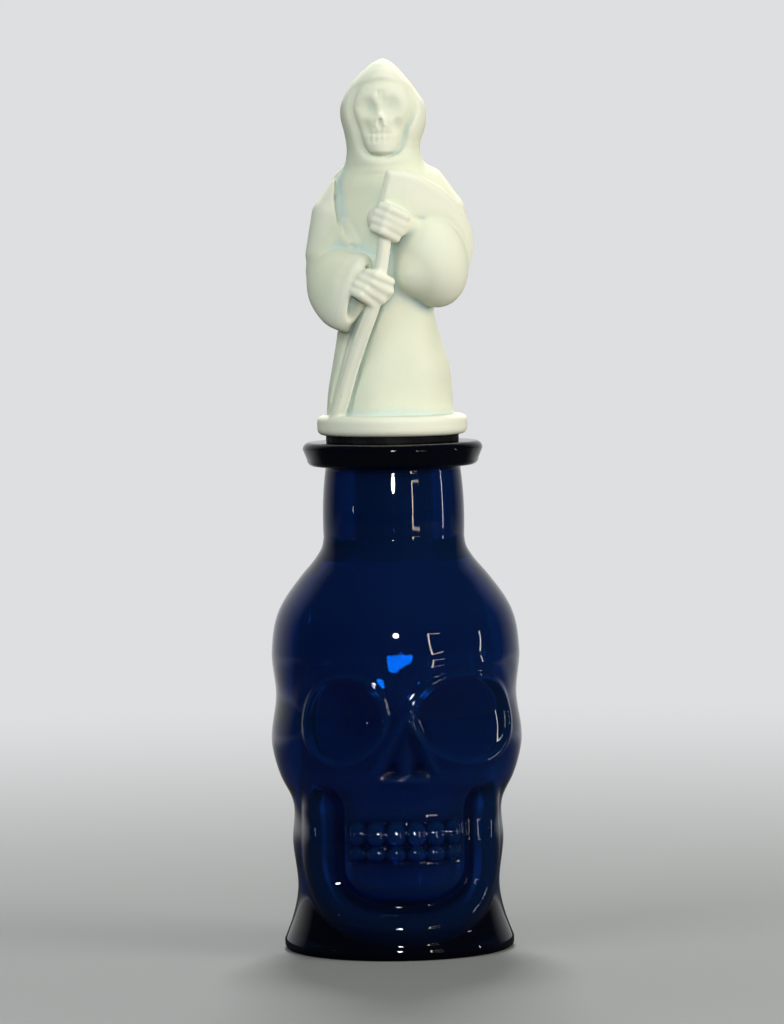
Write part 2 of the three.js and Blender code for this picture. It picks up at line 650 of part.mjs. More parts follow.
function reaperCasting() {
  const low = vec(-LOW_HAND_SPREAD, -HAND_REACH, chest - LOW_HAND_BELOW_CHEST);
  const high = vec(-HIGH_HAND_SPREAD, -HAND_REACH, chest + HIGH_HAND_ABOVE_CHEST);
  const lowWrist = vec(-CUFF_SPREAD, -CUFF_REACH, low.z);
  const highWrist = vec(BULB_SPREAD / 2, -BULB_REACH - BULB_HALF_DEPTH / 2, high.z - FINGER_RADIUS);
  const face = vec(HEAD_OFFSET, 0, hood + EYE_RADIUS);
  const robe = robeAndHood().subtract(faceOpening(face));
  const body = [plinthAndSpigot(), robe, skullFace(face)];
  const arms = [upperArm(-1), upperArm(1), hangingSleeve(), bulbSleeve()];
  const hands = [fist(low, LOW_HAND_TILT, lowWrist), fist(high, HIGH_HAND_TILT, highWrist)];
  return joined([...body, ...arms, ...hands, staff(low, high), blade()]).rotate([0, 0, STOPPER_TURN]);
}

// The cork, glued on the spigot and blind below it. Its top meets the underside of the plinth.
function corkSleeve() {
  const bottom = -SEAT_GAP - CORK_LENGTH;
  const head = BORE_RADIUS - FIT_CLEARANCE;
  const hole = SPIGOT_RADIUS + FIT_CLEARANCE;
  return revolve([
    [0, bottom],
    [head - CORK_TAPER - CORK_CHAMFER, bottom],
    [head - CORK_TAPER, bottom + CORK_CHAMFER],
    [head, -SEAT_GAP],
    [hole, -SEAT_GAP],
    [hole, -SPIGOT_LENGTH - FIT_CLEARANCE],
    [0, -SPIGOT_LENGTH - FIT_CLEARANCE],
  ]);
}

function washerRing() {
  const inner = BORE_RADIUS + FIT_CLEARANCE;
  const [r, t] = [WASHER_RADIUS, WASHER_THICKNESS];
  const disc = revolve([[0, 0], [r, 0], [r, t], [0, t]]);
  const top = t + OVERRUN;
  const hole = revolve([[0, -OVERRUN], [inner, -OVERRUN], [inner, top], [0, top]]);
  return disc.subtract(hole);
}

const glass = new THREE.MeshStandardMaterial({ color: 0x0a2a78, roughness: 0.05, metalness: 0 });
const resin = new THREE.MeshStandardMaterial({ color: 0xdfe2ca, roughness: 0.72, metalness: 0 });
const cork = new THREE.MeshStandardMaterial({ color: 0xb08a5c, roughness: 0.9, metalness: 0 });
const rubber = new THREE.MeshStandardMaterial({ color: 0x0b0b0d, roughness: 0.6, metalness: 0 });

const bottle = skullSkin().add(neckAndLip()).subtract(hollow()).subtract(pushUp());

const stopper = new THREE.Group();
stopper.position.z = WASHER_THICKNESS + SEAT_GAP;
stopper.add(named("reaper_stopper", reaperCasting(), resin));
stopper.add(named("cork_sleeve", corkSleeve(), cork));

const seal = new THREE.Group();
seal.position.z = lipTop + SEAT_GAP;
seal.add(named("lip_washer", washerRing(), rubber));
seal.add(stopper);

const part = new THREE.Group();
part.name = "grave_bottle";
part.add(named("skull_bottle", bottle, glass));
part.add(seal);

export default part;
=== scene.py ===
import math

import bpy
import numpy as np
from mathutils import Matrix, Vector


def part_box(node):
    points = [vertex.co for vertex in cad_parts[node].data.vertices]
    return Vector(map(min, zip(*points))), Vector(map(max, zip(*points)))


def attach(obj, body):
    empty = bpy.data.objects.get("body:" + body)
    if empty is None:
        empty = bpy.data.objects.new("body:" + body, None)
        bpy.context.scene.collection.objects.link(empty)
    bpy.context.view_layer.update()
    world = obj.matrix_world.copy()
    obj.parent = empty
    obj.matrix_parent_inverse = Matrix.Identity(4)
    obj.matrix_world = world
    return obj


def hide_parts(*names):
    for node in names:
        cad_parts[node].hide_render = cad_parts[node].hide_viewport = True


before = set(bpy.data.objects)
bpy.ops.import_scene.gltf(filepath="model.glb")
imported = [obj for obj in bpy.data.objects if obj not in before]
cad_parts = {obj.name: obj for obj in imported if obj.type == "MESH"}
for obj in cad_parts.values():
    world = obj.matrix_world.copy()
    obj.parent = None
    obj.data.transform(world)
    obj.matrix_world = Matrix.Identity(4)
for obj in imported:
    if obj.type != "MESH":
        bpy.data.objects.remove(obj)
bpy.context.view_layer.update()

MM = 0.001
TINY = 1e-6

# Bottle, in millimetres: (height, half width, half depth) up the outside
SKIN = [
    (2.0, 23.0, 23.0),
    (6.6, 21.3, 21.3),
    (11.2, 20.3, 20.3),
    (21.8, 21.1, 21.6),
    (30.2, 21.1, 21.6),
    (35.0, 23.4, 23.2),
    (41.0, 25.0, 24.2),
    (51.4, 24.1, 24.6),
    (60.0, 24.8, 25.1),
    (68.6, 23.0, 23.7),
    (75.0, 18.6, 18.8),
    (78.4, 15.75, 15.75),
    (80.6, 14.45, 14.45),
    (82.6, 14.08, 14.08),
]
NECK_RADIUS = 13.8
NECK_BARREL = 0.3
NECK_TAPER = 0.28
NECK_FILLET = 0.5
LIP_RADIUS = 18.0
LIP_TAPER = 0.8
LIP_THICKNESS = 4.8
LIP_EDGE = 1.4
FOOT_EDGE = 1.2
FOOT_ARC_END = -0.1
BORE_RADIUS = 8.0
MOUTH_CHAMFER = 0.8
PUSH_UP_RADIUS = 14.0
PUSH_UP_DEPTH = 1.6
WALL = 4.2
BASE = 5.0
SHOULDER_INSIDE = 76.0
CHAMBER_TOP = 84.0
CORNER = 5.0
CHAMBER_PLAIN = 3.0
FLOOR_PLAIN = 0.4
INNER_FOLLOW = 0.97
INNER_SOFT = 1.0
INNER_BLUR = 7.0
HOLLOW_REACH = 3.0

# Slow waves of the inside: (size, waves round the bottle, turn per millimetre up, start)
INNER_WAVES = [(0.1, 3, 0.21, 0.0), (0.06, 5, -0.33, 1.3)]

# Mesh of the bottle: columns, crowded towards the face, and rows of each stretch of the profile
COLUMNS = 270
CROWDING = 0.55
ROW_STEPS = [(2.0, 0.45), (16.0, 0.26), (30.0, 0.4), (60.0, 0.55), (82.6, 0.55)]
INNER_STEP = 0.9
END_RING = 1.2
DOME_ROWS = 13
FOOT_ROWS = 8
NECK_ROWS = 20
FILLET_ROWS = 4
LIP_ROWS = 7
MOUTH_ROWS = 6
CORNER_ROWS = 9
FLOOR_ROWS = 8

# Face of the skull, in millimetres along the skin and up from the table.
# Soft bumps are given as (rise, middle, half width), and fades as (start, end).
FACE_TOP = 72.0
FACE_LOW_FADE = (0.8, 3.6)
FACE_SIDE_FADE = (44.0, 56.0)
SOCKETS = [(-12.8, 8.9), (13.6, 12.2)]
SOCKET_HEIGHT = 47.6
SOCKET_HALF = 8.6
SOCKET_DEPTH = 2.2
SOCKET_FADE = 0.5
SOCKET_SLANT = 0.1
SOCKET_POWER = 1.4
RIM = (0.55, 1.02, 0.075)
NOSE_BOTTOM = 36.6
NOSE_TOP = 47.6
NOSE_HALF = 6.0
NOSE_DEPTH = 0.35
NOSE_FOOT_FADE = (-0.1, 0.1)
NOSE_EDGE_FADE = (0.6, 1.05)
NOSTRIL_ACROSS = (0.7, 2.7, 1.5)
NOSTRIL_UP = (1.0, 0.1, 0.14)
SEPTUM = (0.45, 0.0, 1.0)
NOSE_ROOF = (0.6, 1.1, 0.18)
NOSE_ROOF_FADE = (1.0, 1.25)
NOSE_LIP_ACROSS = (0.4, 0.0, 5.4)
NOSE_LIP_UP = (1.0, -0.9, 0.8)
BRIDGE_ACROSS = (0.8, 0.0, 3.4)
BRIDGE_UP = (1.0, 1.0, 7.0)
ARCH_RISE = 0.4
ARCH = (1.0, 1.3, 0.3)
ARCH_START = 7.0
ARCH_SIDE_FADE = (17.0, 31.0)
CHEEK_ACROSS = (0.6, 16.0, 8.0)
CHEEK_UP = (1.0, 35.6, 2.6)
RAMUS_SPACING = 19.6
RAMUS_TOP = 33.6
RAMUS_HALF = 5.0
JAW_TURN = 18.6
JAW_SQUARENESS = 2.25
JAW_RISE = 1.7
JAW_POWER = 0.8
JAW_SPREAD = 1.3
JAW_GROOVE = (1.0, 0.5, 1.3)
JAW_GROOVE_FADE = (0.72, 1.0)
CHIN_CREST = 6.7
CHIN_HALF = 3.0
CHIN_SIDE_FADE = (5.0, 12.0)
CHIN = (0.8, 13.4, 3.6)
GUM_SIDE_FADE = (6.0, 15.0)
GUM = (1.3, 1.0, 9.0)
TEETH_PER_ROW = 6
TOOTH_WIDTH = 3.8
TOOTH_RISE = 1.4
TOOTH_POWERS = (2.4, 2.8)
UPPER_TOOTH = 5.0
LOWER_TOOTH = 3.0
BITE_HEIGHT = 22.6
BITE_DEPTH = 0.35
BITE_INSET = 0.3
BITE_MARGIN = 0.7
FOOT_OUTSIDE_FADE = (0.8, 1.3)
FOOT_FADE = (7.0, 15.0)
FOOT_CHIN = 0.6
FOOT_CHIN_FADE = (5.0, 18.0)


def smooth(low, high, value):
    t = np.clip((value - low) / (high - low), 0.0, 1.0)
    return t * t * (3.0 - 2.0 * t)


def fade(low, high, value):
    return 1 - smooth(low, high, value)


def swell(value, rise, middle, half_width):
    return rise * np.exp(-np.square((value - middle) / half_width))


def curve_through(stations, at):
    """Smooth values at heights, through rows of (height, value, value, ...)."""
    table = np.array(stations, dtype=float)
    knots = table[:, 0]
    values = table[:, 1:]
    gaps = np.diff(knots)[:, None]
    tangents = np.gradient(values, knots, axis=0)
    at = np.clip(np.asarray(at, dtype=float), knots[0], knots[-1])
    here = np.clip(np.searchsorted(knots, at, side="right") - 1, 0, len(knots) - 2)
    span = gaps[here]
    t = ((at - knots[here]) / span[..., 0])[..., None]
    start = values[here] * (1 + 2 * t) * (1 - t) ** 2 + tangents[here] * span * t * (1 - t) ** 2
    end = values[here + 1] * t * t * (3 - 2 * t) + tangents[here + 1] * span * t * t * (t - 1)
    return start + end


def placed(name, data):
    made = bpy.data.objects.new(name, data)
    bpy.context.scene.collection.objects.link(made)
    return made


def mesh_object(name, points, faces, material):
    """A smooth-shaded piece from points in metres and lists of corners."""
    mesh = bpy.data.meshes.new(name)
    mesh.from_pydata(points.tolist(), [], faces)
    mesh.validate()
    mesh.shade_smooth()
    mesh.materials.append(material)
    return placed(name, mesh)


def keep(mesh, name, values):
    """Keeps a value with each point of a mesh, for its material."""
    layer = mesh.attributes.new(name, "FLOAT", "POINT")
    layer.data.foreach_set("value", values.astype(np.float32).ravel())


# Skull bottle


def socket_reach(socket, across, height):
    """Distance from the middle of a socket, as a share of the distance to its rim."""
    middle, half = socket
    u = (across - middle) / half
    v = (height - SOCKET_HEIGHT) / SOCKET_HALF
    return np.hypot(u, v + SOCKET_SLANT * u * math.copysign(1, middle))


def socket_relief(across, height):
    """Two dished eye sockets, shallower to the sides, each with a thin raised rim."""
    total = 0.0
    for socket in SOCKETS:
        reach = socket_reach(socket, across, height)
        outer = np.clip((np.abs(across) - abs(socket[0])) / socket[1], -1, 1)
        bowl = (1 - np.minimum(reach, 1) ** 2) ** SOCKET_POWER
        dish = SOCKET_DEPTH * (1 - SOCKET_FADE * outer) * bowl
        total = total + swell(reach, *RIM) - dish
    return total


def nose_relief(across, height):
    """A three-cornered hollow under a ridge like a roof, with two nostrils."""
    rise = (height - NOSE_BOTTOM) / (NOSE_TOP - NOSE_BOTTOM)
    side = np.abs(across) / NOSE_HALF + rise
    standing = smooth(*NOSE_FOOT_FADE, rise)
    inside = fade(*NOSE_EDGE_FADE, side) * standing
    nostril = swell(np.abs(across), *NOSTRIL_ACROSS) * swell(rise, *NOSTRIL_UP)
    septum = swell(across, *SEPTUM) * standing
    roof = swell(side, *NOSE_ROOF) * standing * fade(*NOSE_ROOF_FADE, rise)
    lip = swell(across, *NOSE_LIP_ACROSS) * swell(height - NOSE_BOTTOM, *NOSE_LIP_UP)
    return lip + roof - inside * (NOSE_DEPTH + nostril - septum)


def brow_relief(across, height):
    """The bridge of the nose, a soft arch over each socket, and the cheekbones."""
    bridge = swell(across, *BRIDGE_ACROSS) * swell(height - SOCKET_HEIGHT, *BRIDGE_UP)
    arch = 0.0
    for socket in SOCKETS:
        over = swell(socket_reach(socket, across, height), *ARCH)
        arch = np.maximum(arch, over * smooth(SOCKET_HEIGHT, SOCKET_HEIGHT + ARCH_START, height))
    arch = ARCH_RISE * arch * fade(*ARCH_SIDE_FADE, np.abs(across))
    cheek = swell(np.abs(across), *CHEEK_ACROSS) * swell(height, *CHEEK_UP)
    return np.hypot(bridge, arch) + cheek


def jaw_place(across, height):
    """How far out a place lies in the bend of the jaw, its distance from the crest, and the half width."""
    side = np.abs(across) / RAMUS_SPACING
    drop = JAW_TURN - CHIN_CREST
    down = np.maximum(JAW_TURN - height, 0) / drop
    half = RAMUS_HALF + (CHIN_HALF - RAMUS_HALF) * smooth(0.0, 1.0, down)
    above = np.maximum(height - RAMUS_TOP + RAMUS_HALF, 0)
    power = JAW_SQUARENESS
    reach = (side ** power + down ** power) ** (1 / power) + TINY
    slope = np.hypot(side ** (power - 1) / RAMUS_SPACING, down ** (power - 1) / drop) * reach ** (1 - power)
    return reach, np.hypot((reach - 1) / np.maximum(slope, 1e-3), above), half


def jaw_relief(across, height):
    """The horseshoe of the lower jaw: a rounded band, with a groove inside it."""
    reach, distance, half = jaw_place(across, height)
    width = half * np.where(reach < 1, 1.0, JAW_SPREAD)
    ridge = JAW_RISE * fade(0.0, 1.0, distance / width) ** JAW_POWER
    groove = swell(distance - half, *JAW_GROOVE) * fade(*JAW_GROOVE_FADE, reach)
    return ridge - groove


def foot_share(across, height):
    """One on the thick foot outside the jaw, less on the chin, nought further up."""
    reach, distance, half = jaw_place(across, height)
    outside = np.where(reach > 1, smooth(*FOOT_OUTSIDE_FADE, distance / half), 0.0)
    on_chin = FOOT_CHIN * fade(*FOOT_CHIN_FADE, height)
    return np.maximum(outside * fade(*FOOT_FADE, height), on_chin)


def gum_relief(across, height):
    """The bulge that carries the teeth, and a smaller one over the chin."""
    side = np.abs(across)
    chin = fade(*CHIN_SIDE_FADE, side) * swell(height, *CHIN)
    return chin + fade(*GUM_SIDE_FADE, side) * swell(height - BITE_HEIGHT, *GUM)


def teeth_relief(across, height):
    """Two rows of teeth like beads, in a bite that is a little sunk."""
    half = TEETH_PER_ROW * TOOTH_WIDTH / 2
    place = (across + half) / TOOTH_WIDTH
    side = np.abs(place - np.floor(place) - 0.5) * 2
    up = height - BITE_HEIGHT
    tall = np.where(height > BITE_HEIGHT, UPPER_TOOTH, LOWER_TOOTH)
    rise = np.clip(np.abs(up) / tall, 0, 1)
    round_off = 1 - side ** TOOTH_POWERS[0] - np.abs(2 * rise - 1) ** TOOTH_POWERS[1]
    bead = np.where(np.abs(across) < half, np.sqrt(np.maximum(round_off, 0)), 0.0)
    inside = smooth(-LOWER_TOOTH - BITE_MARGIN, -LOWER_TOOTH + BITE_INSET, up)
    inside = inside * fade(UPPER_TOOTH - BITE_INSET, UPPER_TOOTH + BITE_MARGIN, up)
    between = fade(half - BITE_INSET, half + BITE_MARGIN, np.abs(across))
    return TOOTH_RISE * bead - BITE_DEPTH * inside * between


def skull_forms(across, height):
    """The large forms of the face, which the inside of the blown wall repeats."""
    forms = brow_relief(across, height) + socket_relief(across, height)
    forms = forms + jaw_relief(across, height) + gum_relief(across, height)
    return forms * smooth(*FACE_LOW_FADE, height) * fade(*FACE_SIDE_FADE, np.abs(across))


def skull_relief(across, height):
    return skull_forms(across, height) + nose_relief(across, height) + teeth_relief(across, height)


def softened(relief, across, height, reach):
    total = 0.0
    weights = 0.0
    for i in range(-2, 3):
        for j in range(-2, 3):
            weight = math.exp(-(i * i + j * j) / 3)
            total = total + weight * relief(across + i * reach / 2, height + j * reach / 2)
            weights += weight
    return total / weights


def inner_sizes(heights):
    """Half width and half depth of the chamber, which narrows to the bore above the shoulder."""
    near = np.linspace(-INNER_BLUR, INNER_BLUR, 5)
    skin = sum(curve_through(SKIN, heights + step) for step in near) / len(near)
    spare = skin - WALL - BORE_RADIUS
    narrowing = fade(SHOULDER_INSIDE, CHAMBER_TOP, heights)
    return BORE_RADIUS + np.maximum(spare, 0) * narrowing[:, None]


def arc_rows(radius, height, edge, start, end, count):
    """Rows of (height, half width, half depth) round an edge in the profile of a round stretch."""
    angles = np.linspace(start, end, count)
    r = radius + edge * np.cos(angles)
    return np.stack([height + edge * np.sin(angles), r, r], axis=1)


def outer_rows(lip_top):
    """Rows of (height, half width, half depth) from the middle of the base up to the mouth."""
    down, up = -math.pi / 2, math.pi / 2
    lip_under = lip_top - LIP_THICKNESS
    dome = np.linspace(END_RING, PUSH_UP_RADIUS, DOME_ROWS)
    under = np.stack([PUSH_UP_DEPTH * (1 - (dome / PUSH_UP_RADIUS) ** 2), dome, dome], axis=1)
    foot_radius = SKIN[0][1] - FOOT_EDGE
    foot = arc_rows(foot_radius, FOOT_EDGE, FOOT_EDGE, down, FOOT_ARC_END, FOOT_ROWS)
    stretches = zip(ROW_STEPS[:-1], ROW_STEPS[1:])
    heights = np.hstack([np.arange(low, high, step) for (low, step), (high, _) in stretches])
    skin = np.column_stack([heights, curve_through(SKIN, heights)])
    rise = np.linspace(-1, 1, NECK_ROWS)
    fillet_height = lip_under - NECK_FILLET
    neck_heights = SKIN[-1][0] + (fillet_height - SKIN[-1][0]) * (rise + 1) / 2
    neck_radii = NECK_RADIUS - NECK_TAPER * rise + NECK_BARREL * (1 - rise ** 2)
    neck = np.column_stack([neck_heights, neck_radii, neck_radii])
    fillet_radius = NECK_RADIUS - NECK_TAPER + NECK_FILLET
    fillet = arc_rows(fillet_radius, fillet_height, NECK_FILLET, math.pi, up, FILLET_ROWS)[1:]
    lower_edge = LIP_RADIUS - LIP_TAPER - LIP_EDGE
    lower = arc_rows(lower_edge, lip_under + LIP_EDGE, LIP_EDGE, down, 0, LIP_ROWS)
    upper = arc_rows(LIP_RADIUS - LIP_EDGE, lip_top - LIP_EDGE, LIP_EDGE, 0, up, LIP_ROWS)
    mouth_radius = BORE_RADIUS + MOUTH_CHAMFER
    mouth = arc_rows(mouth_radius, lip_top - MOUTH_CHAMFER, MOUTH_CHAMFER, up, math.pi, MOUTH_ROWS)
    return np.vstack([under, foot, skin, neck, fillet, lower, upper, mouth])


def inner_rows():
    """Rows of (height, half width, half depth) down the inside, to the middle of the floor."""
    corner_top = BASE + CORNER
    heights = np.arange(CHAMBER_TOP, corner_top, -INNER_STEP)
    inside = np.column_stack([heights, inner_sizes(heights)])
    low = inner_sizes(np.array([corner_top]))[0]
    turn = np.linspace(0, math.pi / 2, CORNER_ROWS)[:-1]
    corner_heights = BASE + CORNER * (1 - np.sin(turn))
    inset = CORNER * (1 - np.cos(turn))
    turned = np.column_stack([corner_heights, low[0] - inset, low[1] - inset])
    radii = np.linspace(low[0] - CORNER, END_RING, FLOOR_ROWS)
    floor = np.stack([np.full(FLOOR_ROWS, BASE), radii, radii], axis=1)
    return np.vstack([inside, turned, floor])


def skull_bottle(material):
    """The glass as one closed skin, up the outside and down the inside."""
    outer = outer_rows(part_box("skull_bottle")[1][2] / MM)
    rows = np.vstack([outer, inner_rows()])
    turn = (np.arange(COLUMNS) / COLUMNS - 0.5) * 2 * math.pi
    angle = turn - CROWDING * np.sin(turn)
    height, half_width, half_depth = (rows[:, k][:, None] for k in range(3))
    lip_row = int(np.argmax(rows[:, 0]))
    outside = (np.arange(len(rows)) <= lip_row)[:, None]
    face = outside & (height < FACE_TOP)
    across = angle[None, :] * half_width
    out = np.where(face, skull_relief(across, height), 0.0)
    # How far each point lies below the softened relief; the glass paints shade in these hollows and a
    # highlight on the raised places
    hollow = np.where(face, softened(skull_relief, across, height, HOLLOW_REACH) - out, 0.0)
    chamber = ~outside & (height < CHAMBER_TOP - CHAMBER_PLAIN) & (height > BASE + FLOOR_PLAIN)
    follow = INNER_FOLLOW * softened(skull_forms, angle * (half_width + WALL), height, INNER_SOFT)
    for size, count, climb, start in INNER_WAVES:
        follow = follow + size * np.sin(count * angle + climb * height + start)
    follow = follow * smooth(BASE, BASE + CHAMBER_PLAIN, height)
    out = out + np.where(chamber, follow, 0.0)
    x = (half_width + out) * np.sin(angle)
    y = -(half_depth + out) * np.cos(angle)
    z = np.broadcast_to(height, x.shape)
    points = np.stack([x, y, z], axis=-1).reshape(-1, 3) * MM
    first = np.arange(len(rows) - 1)[:, None] * COLUMNS
    here = np.arange(COLUMNS)[None, :]
    beside = (here + 1) % COLUMNS
    beyond = first + COLUMNS
    quads = np.stack([first + here, first + beside, beyond + beside, beyond + here], axis=-1)
    last = len(points) - COLUMNS
    ends = [list(range(COLUMNS))[::-1], list(range(last, len(points)))]
    made = mesh_object("skull_glass", points, quads.reshape(-1, 4).tolist() + ends, material)
    keep(made.data, "hollow", hollow)
    keep(made.data, "foot", np.where(face, foot_share(across, height), 0.0))
    return made


# Reaper, modelled as clay on a grid of distances. Millimetres from the underside of its plinth.

# Plinth and spigot as (radius, bottom, top, rounding)
SPIGOT_LENGTH = 15.0
PLINTH = (15.0, 0.0, 4.0, 1.3)
SPIGOT = (4.2, -SPIGOT_LENGTH, 1.0, 0.3)
FIGURE_HEIGHT = 74.8
FIGURE_TURN = math.radians(-4.0)
CLAY_STEP = 0.32
CLAY_HALF = (18.2, 16.2)
CLAY_FAR = 50.0
CLAY_CLIP = 3.0
CLAY_MARGIN = 2.5
CLAY_NUDGE = 0.01
PLATE_DEPTHS = (-14.0, 4.0)

# Edges and hollows: (grid steps, weight) of the means that a place is compared with
PROUD_BLURS = [(4, 1.0), (10, 0.5)]

# Easing of the skin, out and back, so that it doesn't shrink
EASING = (0.5, -0.53) * 4
PROUD_EASING = 0.5


def blurred(field, reach):
    """The mean of a grid over a cube round each point."""
    out = np.clip(field, -CLAY_CLIP, CLAY_CLIP).astype(np.float32)
    for axis in range(3):
        edges = [(reach + 1, reach) if k == axis else (0, 0) for k in range(3)]
        sums = np.cumsum(np.pad(out, edges, mode="edge"), axis=axis)
        size = out.shape[axis]
        far = np.take(sums, np.arange(2 * reach + 1, 2 * reach + 1 + size), axis=axis)
        near = np.take(sums, np.arange(size), axis=axis)
        out = (far - near) / (2 * reach + 1)
    return out


def eased(values, faces, share):
    """Values at the points of a mesh, moved by a share towards the mean of their neighbours."""
    start = faces.ravel()
    end = np.roll(faces, -1, axis=1).ravel()
    count = len(values)
    near = np.bincount(start, minlength=count) + np.bincount(end, minlength=count)
    out = np.empty_like(values)
    for k in range(values.shape[1]):
        total = np.bincount(start, values[end, k], count) + np.bincount(end, values[start, k], count)
        out[:, k] = values[:, k] + share * (total / np.maximum(near, 1) - values[:, k])
    return out


class Clay:
    """A lump held as signed distances on a grid, added to and cut by soft shapes."""

    def __init__(self, low, high, step):
        self.low = np.array(low, dtype=float)
        self.step = step
        self.axes = [np.arange(a, b + step, step, dtype=np.float32) for a, b in zip(low, high)]
        self.field = np.full([len(axis) for axis in self.axes], CLAY_FAR, dtype=np.float32)

    def window(self, box, margin):
        low, high = box
        cuts = []
        for axis, a, b in zip(self.axes, low, high):
            first = int(np.searchsorted(axis, a - margin))
            last = int(np.searchsorted(axis, b + margin))
            cuts.append(slice(first, last))
        return tuple(cuts), np.ix_(*[axis[cut] for axis, cut in zip(self.axes, cuts)])

    def merge(self, shape, blend, sign):
        distance, box = shape
        cuts, places = self.window(box, CLAY_MARGIN + blend)
        ours = self.field[cuts]
        theirs = sign * distance(*places)
        share = np.clip(0.5 + sign * 0.5 * (theirs - ours) / blend, 0, 1)
        self.field[cuts] = theirs + (ours - theirs) * share - sign * blend * share * (1 - share)

    def add(self, shape, blend):
        self.merge(shape, blend, 1)

    def cut(self, shape, blend):
        self.merge(shape, blend, -1)

    def untangle(self):
        """Fills the places where two lumps would touch along an edge only, and evens out single points."""
        for pair in ((0, 1), (0, 2), (1, 2)) * 3:
            grid = np.moveaxis(self.field, pair, (0, 1))
            here, beside = grid[:-1, :-1], grid[1:, :-1]
            a, b, c, d = here < 0, beside < 0, grid[1:, 1:] < 0, grid[:-1, 1:] < 0
            crossed = (a == c) & (b == d) & (a != b)
            here[crossed & ~a] = -CLAY_NUDGE
            beside[crossed & ~b] = -CLAY_NUDGE
        inside = self.field < 0
        near = np.zeros(inside.shape, dtype=np.int8)
        for axis in range(3):
            ours = np.moveaxis(inside, axis, 0)
            count = np.moveaxis(near, axis, 0)
            count[1:] += ours[:-1]
            count[:-1] += ours[1:]
        self.field[inside & (near == 0)] = CLAY_NUDGE
        self.field[~inside & (near == 6)] = -CLAY_NUDGE

    def proud(self):
        """Above nought near edges and below it near hollows, for each point of the grid."""
        total = sum(weight * blurred(self.field, reach) for reach, weight in PROUD_BLURS)
        weights = sum(weight for _, weight in PROUD_BLURS)
        return total - weights * np.clip(self.field, -CLAY_CLIP, CLAY_CLIP)

    def skin(self):
        """Points and four-cornered faces where the distance is zero, and how proud each point is."""
        self.untangle()
        inside = self.field < 0
        counts = [n - 1 for n in inside.shape]
        corners = np.array([(i, j, k) for i in (0, 1) for j in (0, 1) for k in (0, 1)])
        total = np.zeros(counts, dtype=np.int8)
        for i, j, k in corners:
            total += inside[i:i + counts[0], j:j + counts[1], k:k + counts[2]]
        cells = np.argwhere((total > 0) & (total < len(corners)))
        number = np.full(counts, -1, dtype=np.int32)
        number[tuple(cells.T)] = np.arange(len(cells))
        values = np.stack([self.field[tuple((cells + c).T)] for c in corners], axis=1)
        place = np.zeros((len(cells), 3))
        crossings = np.zeros(len(cells))
        for a in range(len(corners)):
            for b in [a | bit for bit in (1, 2, 4) if not a & bit]:
                start, end = values[:, a], values[:, b]
                hit = (start < 0) != (end < 0)
                share = np.where(hit, start / np.where(hit, start - end, 1), 0)
                along = corners[a] + share[:, None] * (corners[b] - corners[a])
                place += np.where(hit[:, None], along, 0)
                crossings += hit
        points = self.low + self.step * (cells + place / crossings[:, None])
        faces = np.vstack([self.walls(inside, number, axis) for axis in range(3)])
        proud = self.proud()[tuple(cells.T)][:, None]
        for share in EASING:
            points = eased(points, faces, share)
            proud = eased(proud, faces, PROUD_EASING)
        return points, faces, proud[:, 0]

    @staticmethod
    def walls(inside, number, axis):
        """A face across each step of the grid, along one axis, that goes in or out of the lump."""
        second, third = [k for k in range(3) if k != axis]
        edges = np.argwhere(np.diff(inside, axis=axis))
        goes_out = inside[tuple(edges.T)]
        ring = []
        for a, b in ((1, 1), (0, 1), (0, 0), (1, 0)):
            cell = edges.copy()
            cell[:, second] -= a
            cell[:, third] -= b
            ring.append(number[tuple(cell.T)])
        quads = np.stack(ring, axis=1)
        flip = goes_out == (axis == 1)
        quads[flip] = quads[flip][:, ::-1]
        return quads


# Each shape is a function for the distance from it, and the box that it lies in


def box_round(points, reach):
    table = np.array(points, dtype=float)
    return table.min(axis=0) - reach, table.max(axis=0) + reach


def corner(a, b):
    """Distance from a shape that ends where two distances do."""
    return np.sqrt(np.maximum(a, 0) ** 2 + np.maximum(b, 0) ** 2) + np.minimum(np.maximum(a, b), 0)


def ellipsoid(centre, radii, tilt=0.0):
    """An ellipsoid, tilted in the view from the front."""
    cx, cy, cz = centre
    rx, ry, rz = radii
    c, s = math.cos(tilt), math.sin(tilt)

    def distance(x, y, z):
        dx, dy, dz = x - cx, y - cy, z - cz
        u, v, w = (c * dx + s * dz) / rx, dy / ry, (c * dz - s * dx) / rz
        near = np.sqrt(u * u + v * v + w * w) + TINY
        slope = np.sqrt((u / rx) ** 2 + (v / ry) ** 2 + (w / rz) ** 2) + TINY
        return near * (near - 1) / slope

    return distance, box_round([centre], max(radii))


def rod(stops):
    """A round rod through stops of (x, y, z, radius)."""
    def distance(x, y, z):
        nearest = None
        for (ax, ay, az, ra), (bx, by, bz, rb) in zip(stops[:-1], stops[1:]):
            dx, dy, dz = bx - ax, by - ay, bz - az
            length = dx * dx + dy * dy + dz * dz
            t = np.clip(((x - ax) * dx + (y - ay) * dy + (z - az) * dz) / length, 0, 1)
            gap = np.sqrt((x - ax - t * dx) ** 2 + (y - ay - t * dy) ** 2 + (z - az - t * dz) ** 2)
            gap = gap - (ra + (rb - ra) * t)
            nearest = gap if nearest is None else np.minimum(nearest, gap)
        return nearest

    return distance, box_round([stop[:3] for stop in stops], max(stop[3] for stop in stops))


